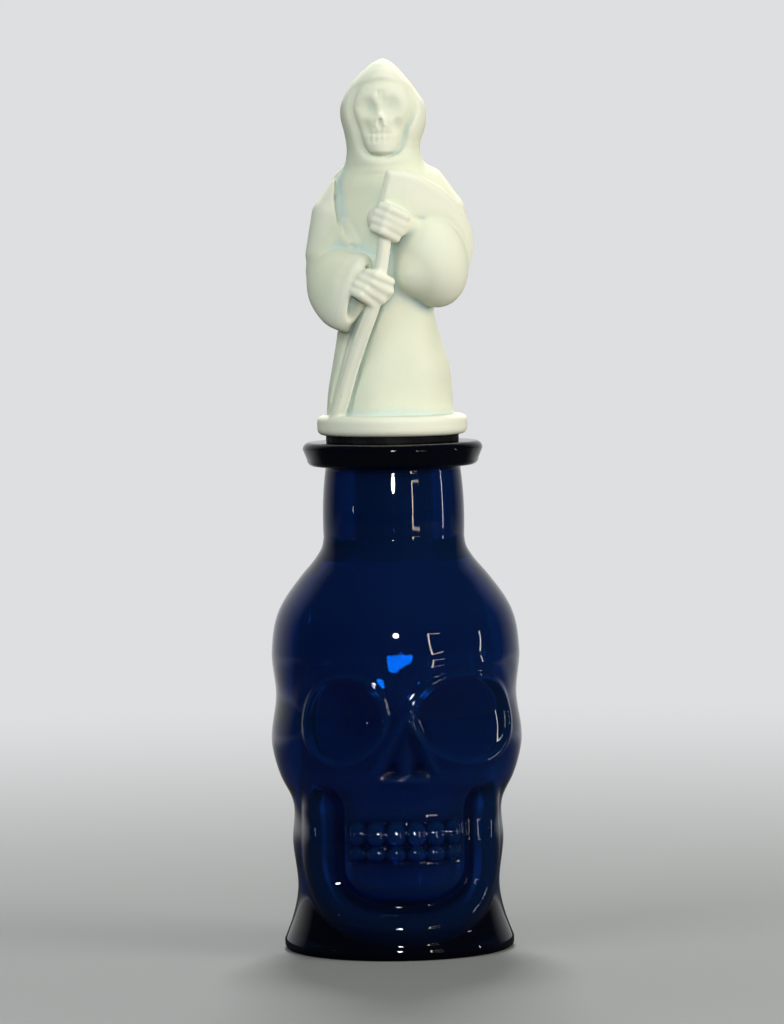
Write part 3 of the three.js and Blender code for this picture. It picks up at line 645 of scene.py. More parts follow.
def sweep(stops, facing, steps=8):
    """An oval carried along a curve through stops of (x, y, z, half across, half along facing)."""
    table = np.array(stops, dtype=float)
    at = np.linspace(0, len(stops) - 1, (len(stops) - 1) * steps + 1)
    path = curve_through(np.column_stack([np.arange(len(stops)), table]), at)
    along = np.gradient(path[:, :3], axis=0)
    along /= np.linalg.norm(along, axis=1)[:, None]
    outward = np.array(facing) - along * (along @ np.array(facing))[:, None]
    outward /= np.linalg.norm(outward, axis=1)[:, None]
    path = np.column_stack([path, outward])

    def distance(x, y, z):
        nearest = np.full(np.broadcast(x, y, z).shape, 1e6, dtype=np.float32)
        best = np.full(nearest.shape, 1e3, dtype=np.float32)
        for a, b in zip(path[:-1], path[1:]):
            step = b - a
            length = float(step[:3] @ step[:3])
            dx, dy, dz = x - a[0], y - a[1], z - a[2]
            t = np.clip((dx * step[0] + dy * step[1] + dz * step[2]) / length, 0, 1)
            dx, dy, dz = dx - t * step[0], dy - t * step[1], dz - t * step[2]
            gap = dx * dx + dy * dy + dz * dz
            q = dx * (a[5] + t * step[5]) + dy * (a[6] + t * step[6]) + dz * (a[7] + t * step[7])
            p = np.sqrt(np.maximum(gap - q * q, 0))
            wide, deep = a[3] + t * step[3], a[4] + t * step[4]
            reach = np.sqrt((p / wide) ** 2 + (q / deep) ** 2) + 1e-4
            slope = np.sqrt((p / wide ** 2) ** 2 + (q / deep ** 2) ** 2) + 1e-4
            closer = gap < nearest
            best = np.where(closer, reach * (reach - 1) / slope, best)
            nearest = np.where(closer, gap, nearest)
        return best

    return distance, box_round(table[:, :3], float(table[:, 3:].max()))


def plate(outline, middle, thin, thick, bevel):
    """A leaf seen from the front: outline of (x, z), middle depth, half at the rim and inside, and bevel."""
    table = np.array(outline, dtype=float)
    rim = np.vstack([table, table[:1]])

    def distance(x, y, z):
        nearest = np.full(np.broadcast(x, z).shape, 1e6, dtype=np.float32)
        inside = np.zeros(nearest.shape, dtype=bool)
        for (ax, az), (bx, bz) in zip(rim[:-1], rim[1:]):
            dx, dz = bx - ax, bz - az
            t = np.clip(((x - ax) * dx + (z - az) * dz) / (dx * dx + dz * dz), 0, 1)
            nearest = np.minimum(nearest, (x - ax - t * dx) ** 2 + (z - az - t * dz) ** 2)
            if dz != 0:
                inside ^= ((az > z) != (bz > z)) & (x < ax + (z - az) * dx / dz)
        flat = np.sqrt(nearest) * np.where(inside, -1, 1)
        half = thin + (thick - thin) * smooth(0, bevel, -flat)
        return corner(flat, np.abs(y - middle(x, z)) - half)

    low, high = table.min(axis=0), table.max(axis=0)
    near, far = PLATE_DEPTHS
    return distance, (np.array([low[0], near, low[1]]), np.array([high[0], far, high[1]]))


def sections(stations, z):
    """Middle x, middle y, half width and half depth of a column, at heights."""
    heights = np.asarray(z, dtype=float).ravel()
    return (v[None, None, :] for v in curve_through(stations, heights).T)


def column(stations, ripple=None):
    """An upright oval column through stations of (height, middle x, middle y, half width, half depth)."""
    low, high = stations[0][0], stations[-1][0]

    def distance(x, y, z):
        cx, cy, rx, ry = sections(stations, z)
        rx, ry = np.maximum(rx, 0.05), np.maximum(ry, 0.05)
        dx, dy = x - cx, y - cy
        if ripple is not None:
            grow = ripple(np.arctan2(dx, -dy), z)
            rx, ry = rx + grow, ry + grow
        u, v = dx / rx, dy / ry
        reach = np.sqrt(u * u + v * v) + TINY
        slope = np.sqrt((u / rx) ** 2 + (v / ry) ** 2) + TINY
        side = reach * (reach - 1) / slope
        return np.maximum(side, np.maximum(low - z, z - high)).astype(np.float32)

    wide = max(s[3] for s in stations) + 1
    return distance, (np.array([-wide - 2, -wide - 1, low]), np.array([wide + 2, wide + 1, high]))


def disc(radius, low, high, edge):
    def distance(x, y, z):
        r = np.sqrt(x * x + y * y) - (radius - edge)
        h = np.abs(z - (low + high) / 2) - ((high - low) / 2 - edge)
        return corner(r, h) - edge

    return distance, (np.array([-radius, -radius, low]), np.array([radius, radius, high]))


def front(table, x, z):
    """Depth of the front of a column, at places across and up."""
    cx, cy, rx, ry = sections(table, z)
    across = np.clip((x - cx) / rx, -0.98, 0.98)
    return cy - ry * np.sqrt(1 - across * across)


def on_front(table, x, z, out):
    return x, front(table, np.array(x), np.array([z])).item() - out, z


def front_rod(table, stops):
    """A rod along the front of a column, through stops of (x, z, how far out, radius)."""
    return rod([(*on_front(table, x, z, out), radius) for x, z, out, radius in stops])


# Columns of (height, middle x, middle y, half width, half depth)
ROBE = [
    (3.4, -0.6, 0.0, 12.7, 11.7),
    (9.0, -0.5, 0.0, 12.3, 11.2),
    (14.0, -0.3, 0.0, 11.6, 10.6),
    (19.0, -0.6, 0.0, 10.4, 9.9),
    (25.5, -0.8, 0.2, 9.4, 9.2),
    (31.0, -0.4, 0.4, 10.2, 9.0),
    (38.0, 0.0, 0.6, 12.4, 8.8),
    (44.0, 0.0, 0.8, 12.8, 8.4),
    (49.0, -0.2, 0.8, 11.0, 7.8),
    (53.0, -0.6, 0.8, 8.4, 7.0),
    (57.0, -0.9, 0.7, 6.6, 6.5),
]
HOOD = [
    (53.0, -0.9, 0.7, 6.7, 6.6),
    (58.0, -1.0, 0.4, 7.3, 7.6),
    (60.5, -0.8, 0.3, 8.0, 8.2),
    (63.5, -0.85, 0.1, 8.6, 8.5),
    (65.6, -0.95, 0.0, 8.4, 8.4),
    (68.0, -1.15, -0.3, 7.2, 7.8),
    (70.7, -1.25, -0.8, 5.3, 6.4),
    (73.0, -1.1, -1.4, 3.1, 4.2),
    (74.2, -0.95, -1.7, 1.6, 2.4),
    (74.8, -0.85, -1.8, 0.3, 0.5),
]
FACE = [
    (55.4, -1.2, -5.0, 0.4, 0.6),
    (55.9, -1.2, -5.0, 2.0, 1.6),
    (57.2, -1.25, -5.0, 3.2, 2.1),
    (58.8, -1.3, -4.9, 3.75, 2.35),
    (60.8, -1.25, -4.8, 4.3, 2.5),
    (62.6, -1.15, -4.7, 5.1, 2.6),
    (64.8, -1.1, -4.6, 5.75, 2.7),
    (67.4, -1.1, -4.5, 5.35, 2.7),
    (69.6, -1.1, -4.4, 4.1, 2.3),
    (71.0, -1.1, -4.3, 2.4, 1.5),
    (71.5, -1.1, -4.3, 0.4, 0.5),
]
SKIRT_FADE = (16.0, 27.0)
SKIRT_HOLLOW = (0.4, 0.1, 0.36)
SKIRT_LEAN = 0.006
SKIRT_WAVES = (0.25, 5, 0.6)
SKIRT_WAVE_FADE = (0.9, 1.6)


def robe_ripple(angle, height):
    """Soft folds of the skirt: one broad hollow on the front and slow waves round the back."""
    low = fade(*SKIRT_FADE, height)
    hollow = swell(angle - SKIRT_LEAN * height, *SKIRT_HOLLOW) * low
    size, count, start = SKIRT_WAVES
    waves = size * np.sin(count * angle + start) * low
    return waves * smooth(*SKIRT_WAVE_FADE, np.abs(angle)) - hollow


HOOD_GAP = 0.9
HOOD_MIDDLE = -11.0
HOOD_RIM = (6.0, 6.0, 0.5)
HOOD_PEAK_SHALLOW = 2.2
HOOD_PEAK_FADE = (68.5, 71.5)

# Eyes, cheeks and nostrils: how far out, radii, blend and places (x, z)
PITS = [
    (0.6, (2.1, 1.1, 2.0), 1.1, [(-4.6, 64.9), (0.95, 65.2)]),
    (0.5, (0.9, 0.75, 1.3), 1.0, [(-4.6, 61.2), (2.1, 61.2)]),
    (0.1, (0.5, 0.35, 0.8), 0.35, [(-1.6, 62.2)]),
]

# Nose as (x, z, how far out, radius), mouth as (x, radius)
NOSE = [
    (-2.5, 61.3, 0.05, 0.25),
    (-2.2, 62.7, 0.05, 0.32),
    (-1.5, 63.5, 0.05, 0.4),
    (-0.9, 62.8, 0.05, 0.32),
    (-0.7, 61.4, 0.05, 0.25),
]
MOUTH_HEIGHT = 59.9
MOUTH = [(-4.2, 0.16), (-2.8, 0.24), (-1.4, 0.24), (0.0, 0.2), (1.0, 0.14)]

# Gaps between the teeth, and a frown: blend, places across, and ends (z, radius)
NOTCHES = [
    (0.3, [-3.5, -2.5, -1.45, -0.35], [(61.0, 0.14), (58.3, 0.2)]),
    (0.4, [-1.9, -1.1], [(68.2, 0.2), (66.4, 0.25)]),
]


def hood_middle(x, z):
    return HOOD_MIDDLE - HOOD_PEAK_SHALLOW * smooth(*HOOD_PEAK_FADE, z)


def model_head(clay):
    """The hood, opened at the front, and the skull's face in it."""
    clay.add(column(HOOD), blend=1.5)
    left = [(cx - rx - HOOD_GAP, z) for z, cx, cy, rx, ry in FACE]
    right = [(cx + rx + HOOD_GAP, z) for z, cx, cy, rx, ry in FACE]
    clay.cut(plate(left + right[::-1], hood_middle, *HOOD_RIM), blend=1.6)
    clay.add(column(FACE), blend=0.25)
    for out, radii, blend, places in PITS:
        for x, z in places:
            clay.cut(ellipsoid(on_front(FACE, x, z, out), radii), blend)
    clay.add(front_rod(FACE, NOSE), blend=0.35)
    clay.cut(front_rod(FACE, [(x, MOUTH_HEIGHT, 0.0, radius) for x, radius in MOUTH]), blend=0.25)
    for blend, places, ends in NOTCHES:
        for x in places:
            clay.cut(front_rod(FACE, [(x, z, 0.0, radius) for z, radius in ends]), blend)


# Outline of (x, z) of the under-robe, and its folds
CHEST = [(-10.5, 52.8), (-10.9, 47.0), (-10.2, 42.4), (-9.0, 39.8), (-7.6, 37.4), (-4.0, 35.6), (4.0, 35.6),
         (4.0, 54.0), (-6.0, 54.0)]
CHEST_HALF = 4.0
CHEST_BEVEL = 0.5
CHEST_DEPTH = 0.95
CHEST_SHALLOWER = 0.6
CHEST_ACROSS_FADE = (-10.5, 0.0)
CHEST_UP_FADE = (46.5, 52.5)
CHEST_FOLDS = [
    [(-9.2, 42.6, -1.3, 0.3), (-7.6, 38.6, -0.9, 0.6)],
    [(-8.2, 42.4, -1.3, 0.3), (-6.7, 38.4, -0.9, 0.6)],
]


def chest_middle(x, z):
    """Depth of the leaf that sinks the chest, deepest along the edge of the cape."""
    sunk = CHEST_DEPTH * (1 - CHEST_SHALLOWER * smooth(*CHEST_ACROSS_FADE, x))
    return front(ROBE, x, z) - CHEST_HALF + sunk * fade(*CHEST_UP_FADE, z)


def model_chest(clay):
    """The under-robe, set back from the edge of the cape, with two pulled folds."""
    clay.cut(plate(CHEST, chest_middle, CHEST_HALF, CHEST_HALF, CHEST_BEVEL), blend=0.5)
    for fold in CHEST_FOLDS:
        clay.add(front_rod(ROBE, fold), blend=0.8)


# Arms of (x, y, z, radius), the left sleeve as an oval sweep and the right one as two ellipsoids
LEFT_ARM = [(-7.2, 1.0, 49.2, 4.4), (-10.6, 0.6, 43.6, 4.9), (-12.0, 0.0, 36.0, 4.8)]
LEFT_SLEEVE = [
    (-12.3, -0.4, 33.6, 4.2, 5.2),
    (-11.4, -4.2, 31.2, 4.2, 6.8),
    (-9.2, -7.8, 29.2, 3.8, 7.8),
    (-7.6, -9.6, 28.6, 3.4, 8.0),
]
LEFT_SLEEVE_POINT = [(-10.4, -7.6, 24.6, 1.8), (-9.3, -8.6, 22.6, 1.2), (-8.7, -9.2, 21.3, 0.5)]
LEFT_OPENING = [(-6.6, -10.6, 29.0, 1.4, 5.0), (-5.2, -12.2, 28.4, 2.2, 6.4), (-2.6, -14.6, 27.4, 3.0, 7.4)]
SLEEVE_DROOP = (0.4, 0, 0.915)
RIGHT_ARM = [(7.2, 1.0, 49.2, 4.3), (10.6, 0.6, 44.0, 4.6), (11.8, 0.0, 36.0, 4.5)]
RIGHT_SLEEVE = ((7.7, -5.2, 35.2), (7.5, 7.0, 10.2), math.radians(20))
RIGHT_CUFF = ((4.8, -7.0, 32.4), (4.6, 4.6, 5.0))


def model_sleeves(clay):
    clay.add(rod(LEFT_ARM), blend=1.2)
    model_chest(clay)
    clay.add(sweep(LEFT_SLEEVE, SLEEVE_DROOP), blend=0.5)
    clay.add(rod(LEFT_SLEEVE_POINT), blend=1.4)
    clay.cut(sweep(LEFT_OPENING, SLEEVE_DROOP), blend=0.7)
    clay.add(rod(RIGHT_ARM), blend=1.2)
    clay.add(ellipsoid(*RIGHT_SLEEVE), blend=0.5)
    clay.add(ellipsoid(*RIGHT_CUFF), blend=1.2)


# Outline of (x, z) of the blade, and the staff with its ridge and the creases beside it
BLADE = [(-0.4, 52.8), (2.8, 52.6), (6.4, 51.5), (10.5, 49.0), (12.9, 46.9), (15.3, 43.5), (16.6, 40.1),
         (16.7, 36.7), (15.7, 33.1), (14.2, 30.6), (14.5, 34.5), (13.2, 38.1), (10.5, 40.6), (6.6, 42.4),
         (3.6, 43.0), (-2.3, 44.0), (-2.1, 46.2)]
BLADE_DEPTH = -10.2
BLADE_CURL = 0.03
BLADE_LEAN = 0.02
BLADE_MIDDLE = 46
BLADE_RIM = (0.6, 1.2, 1.1)
STAFF = [
    (-10.8, -7.2, 3.4, 1.7, 1.5),
    (-6.9, -9.9, 17.0, 1.35, 1.35),
    (-3.2, -11.8, 26.6, 1.3, 1.35),
    (-1.2, -12.0, 37.0, 1.35, 1.35),
    (-0.6, -11.4, 45.0, 1.35, 1.2),
]
STAFF_FACING = (0, -1, 0)
STAFF_RIDGE = [(-2.0, -12.6, 26.6, 0.35), (-4.9, -11.3, 19.0, 0.4), (-6.9, -10.3, 13.4, 0.4),
               (-9.4, -8.6, 4.4, 0.4)]
STAFF_CREASE = [(-2.4, 25.4, 0, 0.4), (-5.0, 18.4, 0, 0.65), (-6.8, 13.0, 0, 0.7), (-8.9, 4.6, 0, 0.6)]
DRAPE_CREASE = [(-6.4, 25.0, 0, 0.25), (-9.0, 18.5, 0, 0.35), (-10.6, 12.5, 0, 0.35), (-12.0, 7.0, 0, 0.3)]


def blade_depth(x, z):
    return BLADE_DEPTH + BLADE_CURL * np.square(x) - BLADE_LEAN * (z - BLADE_MIDDLE)


def model_scythe(clay):
    clay.cut(front_rod(ROBE, STAFF_CREASE), blend=0.8)
    clay.cut(front_rod(ROBE, DRAPE_CREASE), blend=0.6)
    clay.add(sweep(STAFF, STAFF_FACING), blend=0.4)
    clay.add(rod(STAFF_RIDGE), blend=0.35)
    clay.add(plate(BLADE, blade_depth, *BLADE_RIM), blend=0.3)


# Hands: middle of the palm, tilt, wrist, and the ends of four fingers as (x, z)
LOWER_HAND = (
    (-3.4, -11.6, 29.8), math.radians(-25), (-8.0, -9.0, 30.6),
    [((-4.4, 32.4), (0.2, 30.6)), ((-5.5, 31.3), (-0.1, 28.7)), ((-6.5, 30.1), (-1.5, 27.1)),
     ((-7.1, 28.8), (-3.2, 26.3))],
)
UPPER_HAND = (
    (-0.2, -11.5, 42.5), math.radians(-20), (4.0, -9.4, 41.6),
    [((-1.5, 45.5), (3.3, 43.3)), ((-2.3, 44.2), (2.7, 41.9)), ((-2.8, 42.8), (2.2, 40.4)),
     ((-3.0, 41.3), (1.4, 39.2))],
)
PALM_RADII = (4.3, 2.3, 3.3)
WRIST_RADIUS = 2.0
WRIST_IN_PALM = 2.3

# Knuckle, bend and tip of a finger: share of the way across and down it, how far back and out, radius
FINGER = [(0.0, 0.0, 0.0, 1.2, 0.95), (0.35, 0.3, 0.0, 2.0, 1.1), (1.0, 1.0, 0.2, 0.7, 1.0)]


def model_fist(clay, palm, tilt, wrist, fingers):
    """A closed hand: a rounded back, a wrist into the sleeve, and four fingers given by their ends."""
    depth = palm[1]
    clay.add(ellipsoid(palm, PALM_RADII, tilt), blend=0.4)
    clay.add(rod([(*wrist, WRIST_RADIUS), (*palm, WRIST_IN_PALM)]), blend=0.8)
    for (ax, az), (bx, bz) in fingers:
        stops = []
        for across, down, back, out, radius in FINGER:
            stops.append((ax + across * (bx - ax) - back, depth - out, az + down * (bz - az), radius))
        clay.add(rod(stops), blend=0.4)


def reaper(material):
    """The stopper's casting: figure, plinth and spigot in one."""
    low = (-CLAY_HALF[0], -CLAY_HALF[1], -SPIGOT_LENGTH - 1)
    high = (*CLAY_HALF, FIGURE_HEIGHT + 1)
    clay = Clay(low, high, CLAY_STEP)
    clay.add(column(ROBE, robe_ripple), blend=0.5)
    clay.add(disc(*PLINTH), blend=0.5)
    clay.add(disc(*SPIGOT), blend=0.3)
    model_sleeves(clay)
    model_head(clay)
    model_scythe(clay)
    for hand in (LOWER_HAND, UPPER_HAND):
        model_fist(clay, *hand)
    points, faces, proud = clay.skin()
    c, s = math.cos(FIGURE_TURN), math.sin(FIGURE_TURN)
    turned = points @ np.array([[c, s, 0], [-s, c, 0], [0, 0, 1]])
    turned[:, 2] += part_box("reaper_stopper")[0][2] / MM + SPIGOT_LENGTH
    made = mesh_object("reaper_casting", turned * MM, faces.tolist(), material)
    # How proud each point is, for the resin's painted shade in hollows and painted highlight on edges
    keep(made.data, "proud", proud)
    return made


# Materials

GLASS_BODY = (0.009, 0.056, 0.25, 1)
GLASS_CLOUD = (0.011, 0.068, 0.29, 1)
# Painted shade: the darker blue of the hollows of the glass face
GLASS_PAINTED_SHADE = (0.004, 0.022, 0.1, 1)
# Painted highlight: the lighter blue of the raised forms of the glass face
GLASS_PAINTED_HIGHLIGHT = (0.012, 0.085, 0.36, 1)
GLASS_FOOT = (0.005, 0.009, 0.03, 1)
GLASS_LIP = (0.008, 0.014, 0.03, 1)
GLASS_LIP_FADE = (0.0955, 0.0975)
GLASS_DYE = (0.1, 0.35, 0.55, 1)
RESIN_BODY = (0.70, 0.735, 0.585, 1)
RESIN_CLOUD = (0.745, 0.755, 0.595, 1)
# Painted shade: the greener colour of the resin's hollows and creases
RESIN_PAINTED_SHADE = (0.56, 0.655, 0.60, 1)
# Painted highlight: the paler colour of the resin's proud edges
RESIN_PAINTED_HIGHLIGHT = (0.82, 0.82, 0.70, 1)
RESIN_PIT = (0.42, 0.42, 0.34, 1)
CORK_BODY = (0.78, 0.64, 0.48, 1)
CORK_GRAIN = (0.86, 0.74, 0.58, 1)
CORK_HOLE = (0.35, 0.22, 0.12, 1)
RUBBER_BODY = (0.004, 0.004, 0.005, 1)
RUBBER_BLOOM = (0.012, 0.012, 0.013, 1)
FLOOR_COLOUR = (0.25, 0.255, 0.252, 1)
FLOOR_SHADE = (0.02, 0.02, 0.02, 1)
FLOOR_SHADE_FADE = (0.1, 0.5)
FLOOR_FADE = (0.05, 0.55)
FLOOR_THROUGH_GLASS = 0.45
SURROUNDINGS = (0.73, 0.735, 0.745, 1)
ROOM_SHADE = (0.015, 0.017, 0.018, 1)
LIT_FROM = 0.42
LIT_MOST = 0.85


class Paint:
    """Short ways to add and join the nodes of a material or of the surroundings."""

    def __init__(self, tree):
        self.nodes = tree.nodes
        self.links = tree.links

    def fill(self, node, inputs):
        """Gives each input a constant, or joins it to another socket."""
        for name, value in inputs.items():
            if isinstance(value, bpy.types.NodeSocket):
                self.links.new(value, node.inputs[name])
            else:
                node.inputs[name].default_value = value

    def node(self, kind, inputs, **settings):
        made = self.nodes.new(kind)
        for name, value in settings.items():
            setattr(made, name, value)
        self.fill(made, inputs)
        return made.outputs

    def place(self):
        return self.node("ShaderNodeTexCoord", {})["Object"]

    def kept(self, name):
        return self.node("ShaderNodeAttribute", {}, attribute_name=name)["Fac"]

    def noise(self, scale, detail):
        inputs = {"Vector": self.place(), "Scale": scale, "Detail": detail}
        return self.node("ShaderNodeTexNoise", inputs)["Fac"]

    def patches(self, scale, detail, *span):
        return self.remap(self.noise(scale, detail), *span)

    def remap(self, value, low, high, to_low=0.0, to_high=1.0, interpolation="LINEAR"):
        inputs = {"Value": value, "From Min": low, "From Max": high, "To Min": to_low, "To Max": to_high}
        return self.node("ShaderNodeMapRange", inputs, interpolation_type=interpolation)[0]

    def blend(self, share, first, second):
        """A colour between two, by a share; each may be a colour or another socket."""
        inputs = {"Factor": share, "A": first, "B": second}
        return self.node("ShaderNodeMix", inputs, data_type="RGBA")["Result"]

    def grain(self, scale, detail, strength, distance, **normal):
        """Bumps from noise, on the plain surface or on another bump."""
        inputs = {"Height": self.noise(scale, detail), "Strength": strength, "Distance": distance, **normal}
        return self.node("ShaderNodeBump", inputs)["Normal"]

    def axis(self, vector, name):
        return self.node("ShaderNodeSeparateXYZ", {0: vector})[name]

    def vector(self, operation, value):
        return self.node("ShaderNodeVectorMath", {0: value}, operation=operation)

    def combine(self, operation, *values, clamp=False):
        return self.node("ShaderNodeMath", dict(enumerate(values)), operation=operation, use_clamp=clamp)[0]

    def seen_plainly(self, rays):
        """One for rays from the eye or through the glass."""
        return self.combine("MAXIMUM", rays["Is Camera Ray"], rays["Is Transmission Ray"])

    def lit_side(self, direction):
        """How bright the room is in a direction: dark in front of the object, lit behind it."""
        return self.remap(self.axis(direction, "Y"), LIT_FROM, 1.0, 0.0, LIT_MOST)


def painted(name, look):
    """A material, from a function that gives the inputs of its main shader."""
    made = bpy.data.materials.new(name)
    made.use_nodes = True
    paint = Paint(made.node_tree)
    paint.fill(paint.nodes["Principled BSDF"], look(paint))
    return made


def glass_look(paint):
    """Deep blue glass, wavy and clouded, near black in the thick lip and foot, with faint wipe marks;
    painted shade darkens the hollows of the face and a painted highlight lightens its raised forms.
    """
    clouds = paint.patches(60, 3, 0.3, 0.7)
    depth = paint.kept("hollow")
    body = paint.blend(clouds, GLASS_BODY, GLASS_CLOUD)
    # Painted shade: darker blue where the surface lies below the softened relief
    body = paint.blend(paint.remap(depth, 0.0, 0.5), body, GLASS_PAINTED_SHADE)
    # Painted highlight: lighter blue where the surface stands above the softened relief
    body = paint.blend(paint.remap(depth, 0.0, -0.5), body, GLASS_PAINTED_HIGHLIGHT)
    body = paint.blend(paint.kept("foot"), body, GLASS_FOOT)
    lip = paint.remap(paint.axis(paint.place(), "Z"), *GLASS_LIP_FADE)
    dye = paint.node("ShaderNodeVolumeAbsorption", {"Color": GLASS_DYE, "Density": 260})
    paint.fill(paint.nodes["Material Output"], {"Volume": dye["Volume"]})
    return {
        "Base Color": paint.blend(lip, body, GLASS_LIP),
        "IOR": 1.5,
        "Transmission Weight": 0.9,
        "Roughness": paint.patches(90, 4, 0.45, 0.75, 0.02, 0.07),
        "Normal": paint.grain(110, 1, strength=0.1, distance=0.0004),
    }


def resin_look(paint):
    """Chalky cream resin, mottled and pitted, with painted greenish shade in the hollows and a painted pale
    highlight on proud edges.
    """
    proud = paint.kept("proud")
    clouds = paint.patches(140, 4, 0.35, 0.7)
    body = paint.blend(clouds, RESIN_BODY, RESIN_CLOUD)
    # Painted shade: greener where the surface lies in a hollow
    body = paint.blend(paint.remap(proud, -0.05, -0.5), body, RESIN_PAINTED_SHADE)
    # Painted highlight: paler where the surface stands proud at edges
    body = paint.blend(paint.remap(proud, 0.12, 0.4, 0.0, 0.6), body, RESIN_PAINTED_HIGHLIGHT)
    pits = paint.patches(620, 2, 0.775, 0.80, 0.0, 0.7)
    fine = paint.grain(2600, 2, strength=0.12, distance=0.0001)
    return {
        "Base Color": paint.blend(pits, body, RESIN_PIT),
        "Roughness": paint.patches(400, 3, 0.3, 0.7, 0.55, 0.8),
        "Specular IOR Level": 0.35,
        "Normal": paint.grain(500, 3, strength=0.15, distance=0.0003, Normal=fine),
    }


def cork_look(paint):
    """Pale natural cork with lighter grains and small dark holes."""
    grains = paint.node("ShaderNodeTexVoronoi", {"Vector": paint.place(), "Scale": 900})["Color"]
    body = paint.blend(paint.remap(grains, 0.2, 0.9), CORK_BODY, CORK_GRAIN)
    holes = paint.patches(600, 3, 0.62, 0.68)
    return {
        "Base Color": paint.blend(holes, body, CORK_HOLE),
        "Roughness": paint.patches(300, 2, 0.3, 0.7, 0.75, 0.95),
        "Normal": paint.grain(600, 3, strength=0.5, distance=0.0003),
    }


def rubber_look(paint):
    bloom = paint.patches(250, 4, 0.4, 0.8)
    return {
        "Base Color": paint.blend(bloom, RUBBER_BODY, RUBBER_BLOOM),
        "Roughness": paint.patches(500, 2, 0.3, 0.7, 0.55, 0.75),
        "Specular IOR Level": 0.2,
        "Normal": paint.grain(1500, 2, strength=0.2, distance=0.0001),
    }


def floor_look(paint):
    """A matt floor that takes the shadow close by, melts into the surroundings further off, and lights the
    object from behind only, as the room does."""
    rays = paint.node("ShaderNodeLightPath", {})
    place = paint.node("ShaderNodeNewGeometry", {})["Position"]
    beyond = paint.remap(paint.axis(place, "Y"), *FLOOR_SHADE_FADE, interpolation="SMOOTHSTEP")
    pale = paint.combine("MAXIMUM", rays["Is Camera Ray"], beyond)
    far = paint.remap(paint.vector("LENGTH", place)["Value"], *FLOOR_FADE, interpolation="SMOOTHSTEP")
    lit = paint.lit_side(paint.vector("NORMALIZE", place)[0])
    mirrored = paint.combine("MULTIPLY", rays["Is Glossy Ray"], lit)
    seen = paint.combine("MAXIMUM", paint.seen_plainly(rays), mirrored)
    share = paint.combine("MULTIPLY", far, seen)
    glow = paint.combine("MULTIPLY_ADD", rays["Is Transmission Ray"], FLOOR_THROUGH_GLASS, share, clamp=True)
    surroundings = paint.node("ShaderNodeEmission", {"Color": SURROUNDINGS})[0]
    matt = paint.nodes["Principled BSDF"].outputs[0]
    both = paint.node("ShaderNodeMixShader", {0: glow, 1: matt, 2: surroundings})[0]
    paint.fill(paint.nodes["Material Output"], {"Surface": both})
    return {
        "Base Color": paint.blend(pale, FLOOR_SHADE, FLOOR_COLOUR),
        "Roughness": 0.9,
        "Specular IOR Level": 0.0,
    }


# Stage, lights and camera, in metres

FLOOR_MARKS = [-6.0, -1.0, -0.3, -0.1, 0.1, 0.3, 1.0, 6.0]
DISTANCE = 1.12
EYE_HEIGHT = 0.152
AZIMUTH = math.radians(-4.0)
CAMERA_ROLL = math.radians(0.84)
SENSOR_HEIGHT = 36
AIM_HEIGHT = 0.0874
AIM_SIDE = -0.0003
VIEW_HEIGHT = 0.2048
AWAY = Vector((math.sin(AZIMUTH), -math.cos(AZIMUTH), 0))
RIGHT = Vector((math.cos(AZIMUTH), math.sin(AZIMUTH), 0))
UP = Vector((0, 0, 1))
MIDDLE = Vector((0, 0, AIM_HEIGHT))
WHITE = (1.0, 1.0, 1.0)
SPARK_RISE = 0.095
SPARK_RADIUS = 0.055
SPARK_POWER = 12.0
SPARK_CONE = math.radians(27)
WARM = (1.0, 0.86, 0.74)

# Lamps: name, way from the middle (away, right, up), size, power, colour and the rays that don't meet them.
# The three tubes stand like a square bracket. The glass mirrors them and the strips, and none of the rest.
MATT = ("glossy", "transmission")
LAMPS = [
    ("front_soft", (1.12, 0.0, 0.4596), (0.5, 0.4), 2.5, WHITE, MATT),
    ("tube", (0.70088, 0.42061, 0.02), (0.022, 0.2), 0.22, WARM, ()),
    ("tube_foot", (0.64294, 0.48281, -0.08), (0.17, 0.012), 0.05, WARM, ()),
    ("tube_head", (0.64294, 0.48281, 0.12), (0.17, 0.012), 0.05, WARM, ()),
    ("right_strip", (0.05, 0.95, 0.0), (0.022, 0.24), 0.2, (1.0, 0.98, 0.95), ()),
    ("left_strip", (0.35, -0.9, 0.0), (0.02, 0.03), 0.015, (0.95, 1.0, 1.0), ()),
    ("top_soft", (0.3, 0.2, 0.9), (0.6, 0.6), 1.6, (1.0, 0.99, 0.94), MATT),
    ("right_fill", (0.5, 1.15, 0.3), (0.7, 0.7), 12.2, (1.0, 0.97, 0.89), MATT),
    ("left_fill", (0.75, -0.85, 0.75), (0.9, 0.9), 7.6, (0.87, 0.99, 0.97), MATT),
    ("back_soft", (-0.45, 0.0, 0.65), (0.2, 0.16), 7.5, WHITE, MATT),
]

# A small lamp close behind the bottle, for the glow on the forehead
GLINT_RAYS = ("camera", "diffuse", "glossy")
GLINT = ("back_glint", (-0.045, 0.0, -0.0322), (0.006, 0.003), 0.016, (0.3, 1.0, 0.2), GLINT_RAYS)
GLINT_AIM = Vector((0, 0, 0.0586))


def pale_floor(material):
    """A level floor, laid in strips that widen away from the object."""
    points = [(x, y, 0.0) for y in FLOOR_MARKS for x in FLOOR_MARKS]
    across = len(FLOOR_MARKS)
    strips = range(across - 1)
    corners = [row * across + k for row in strips for k in strips]
    faces = [[c, c + 1, c + across + 1, c + across] for c in corners]
    mesh_object("pale_floor", np.array(points), faces, material)


def room():
    """Pale surroundings for the eye and through the glass; mirrored in it, lit behind the object only."""
    world = bpy.data.worlds.new("room")
    world.use_nodes = True
    paint = Paint(world.node_tree)
    direction = paint.node("ShaderNodeTexCoord", {})["Generated"]
    rays = paint.node("ShaderNodeLightPath", {})
    lit = paint.combine("MAXIMUM", paint.seen_plainly(rays), paint.lit_side(direction))
    paint.fill(paint.nodes["Background"], {"Color": paint.blend(lit, ROOM_SHADE, SURROUNDINGS)})
    bpy.context.scene.world = world


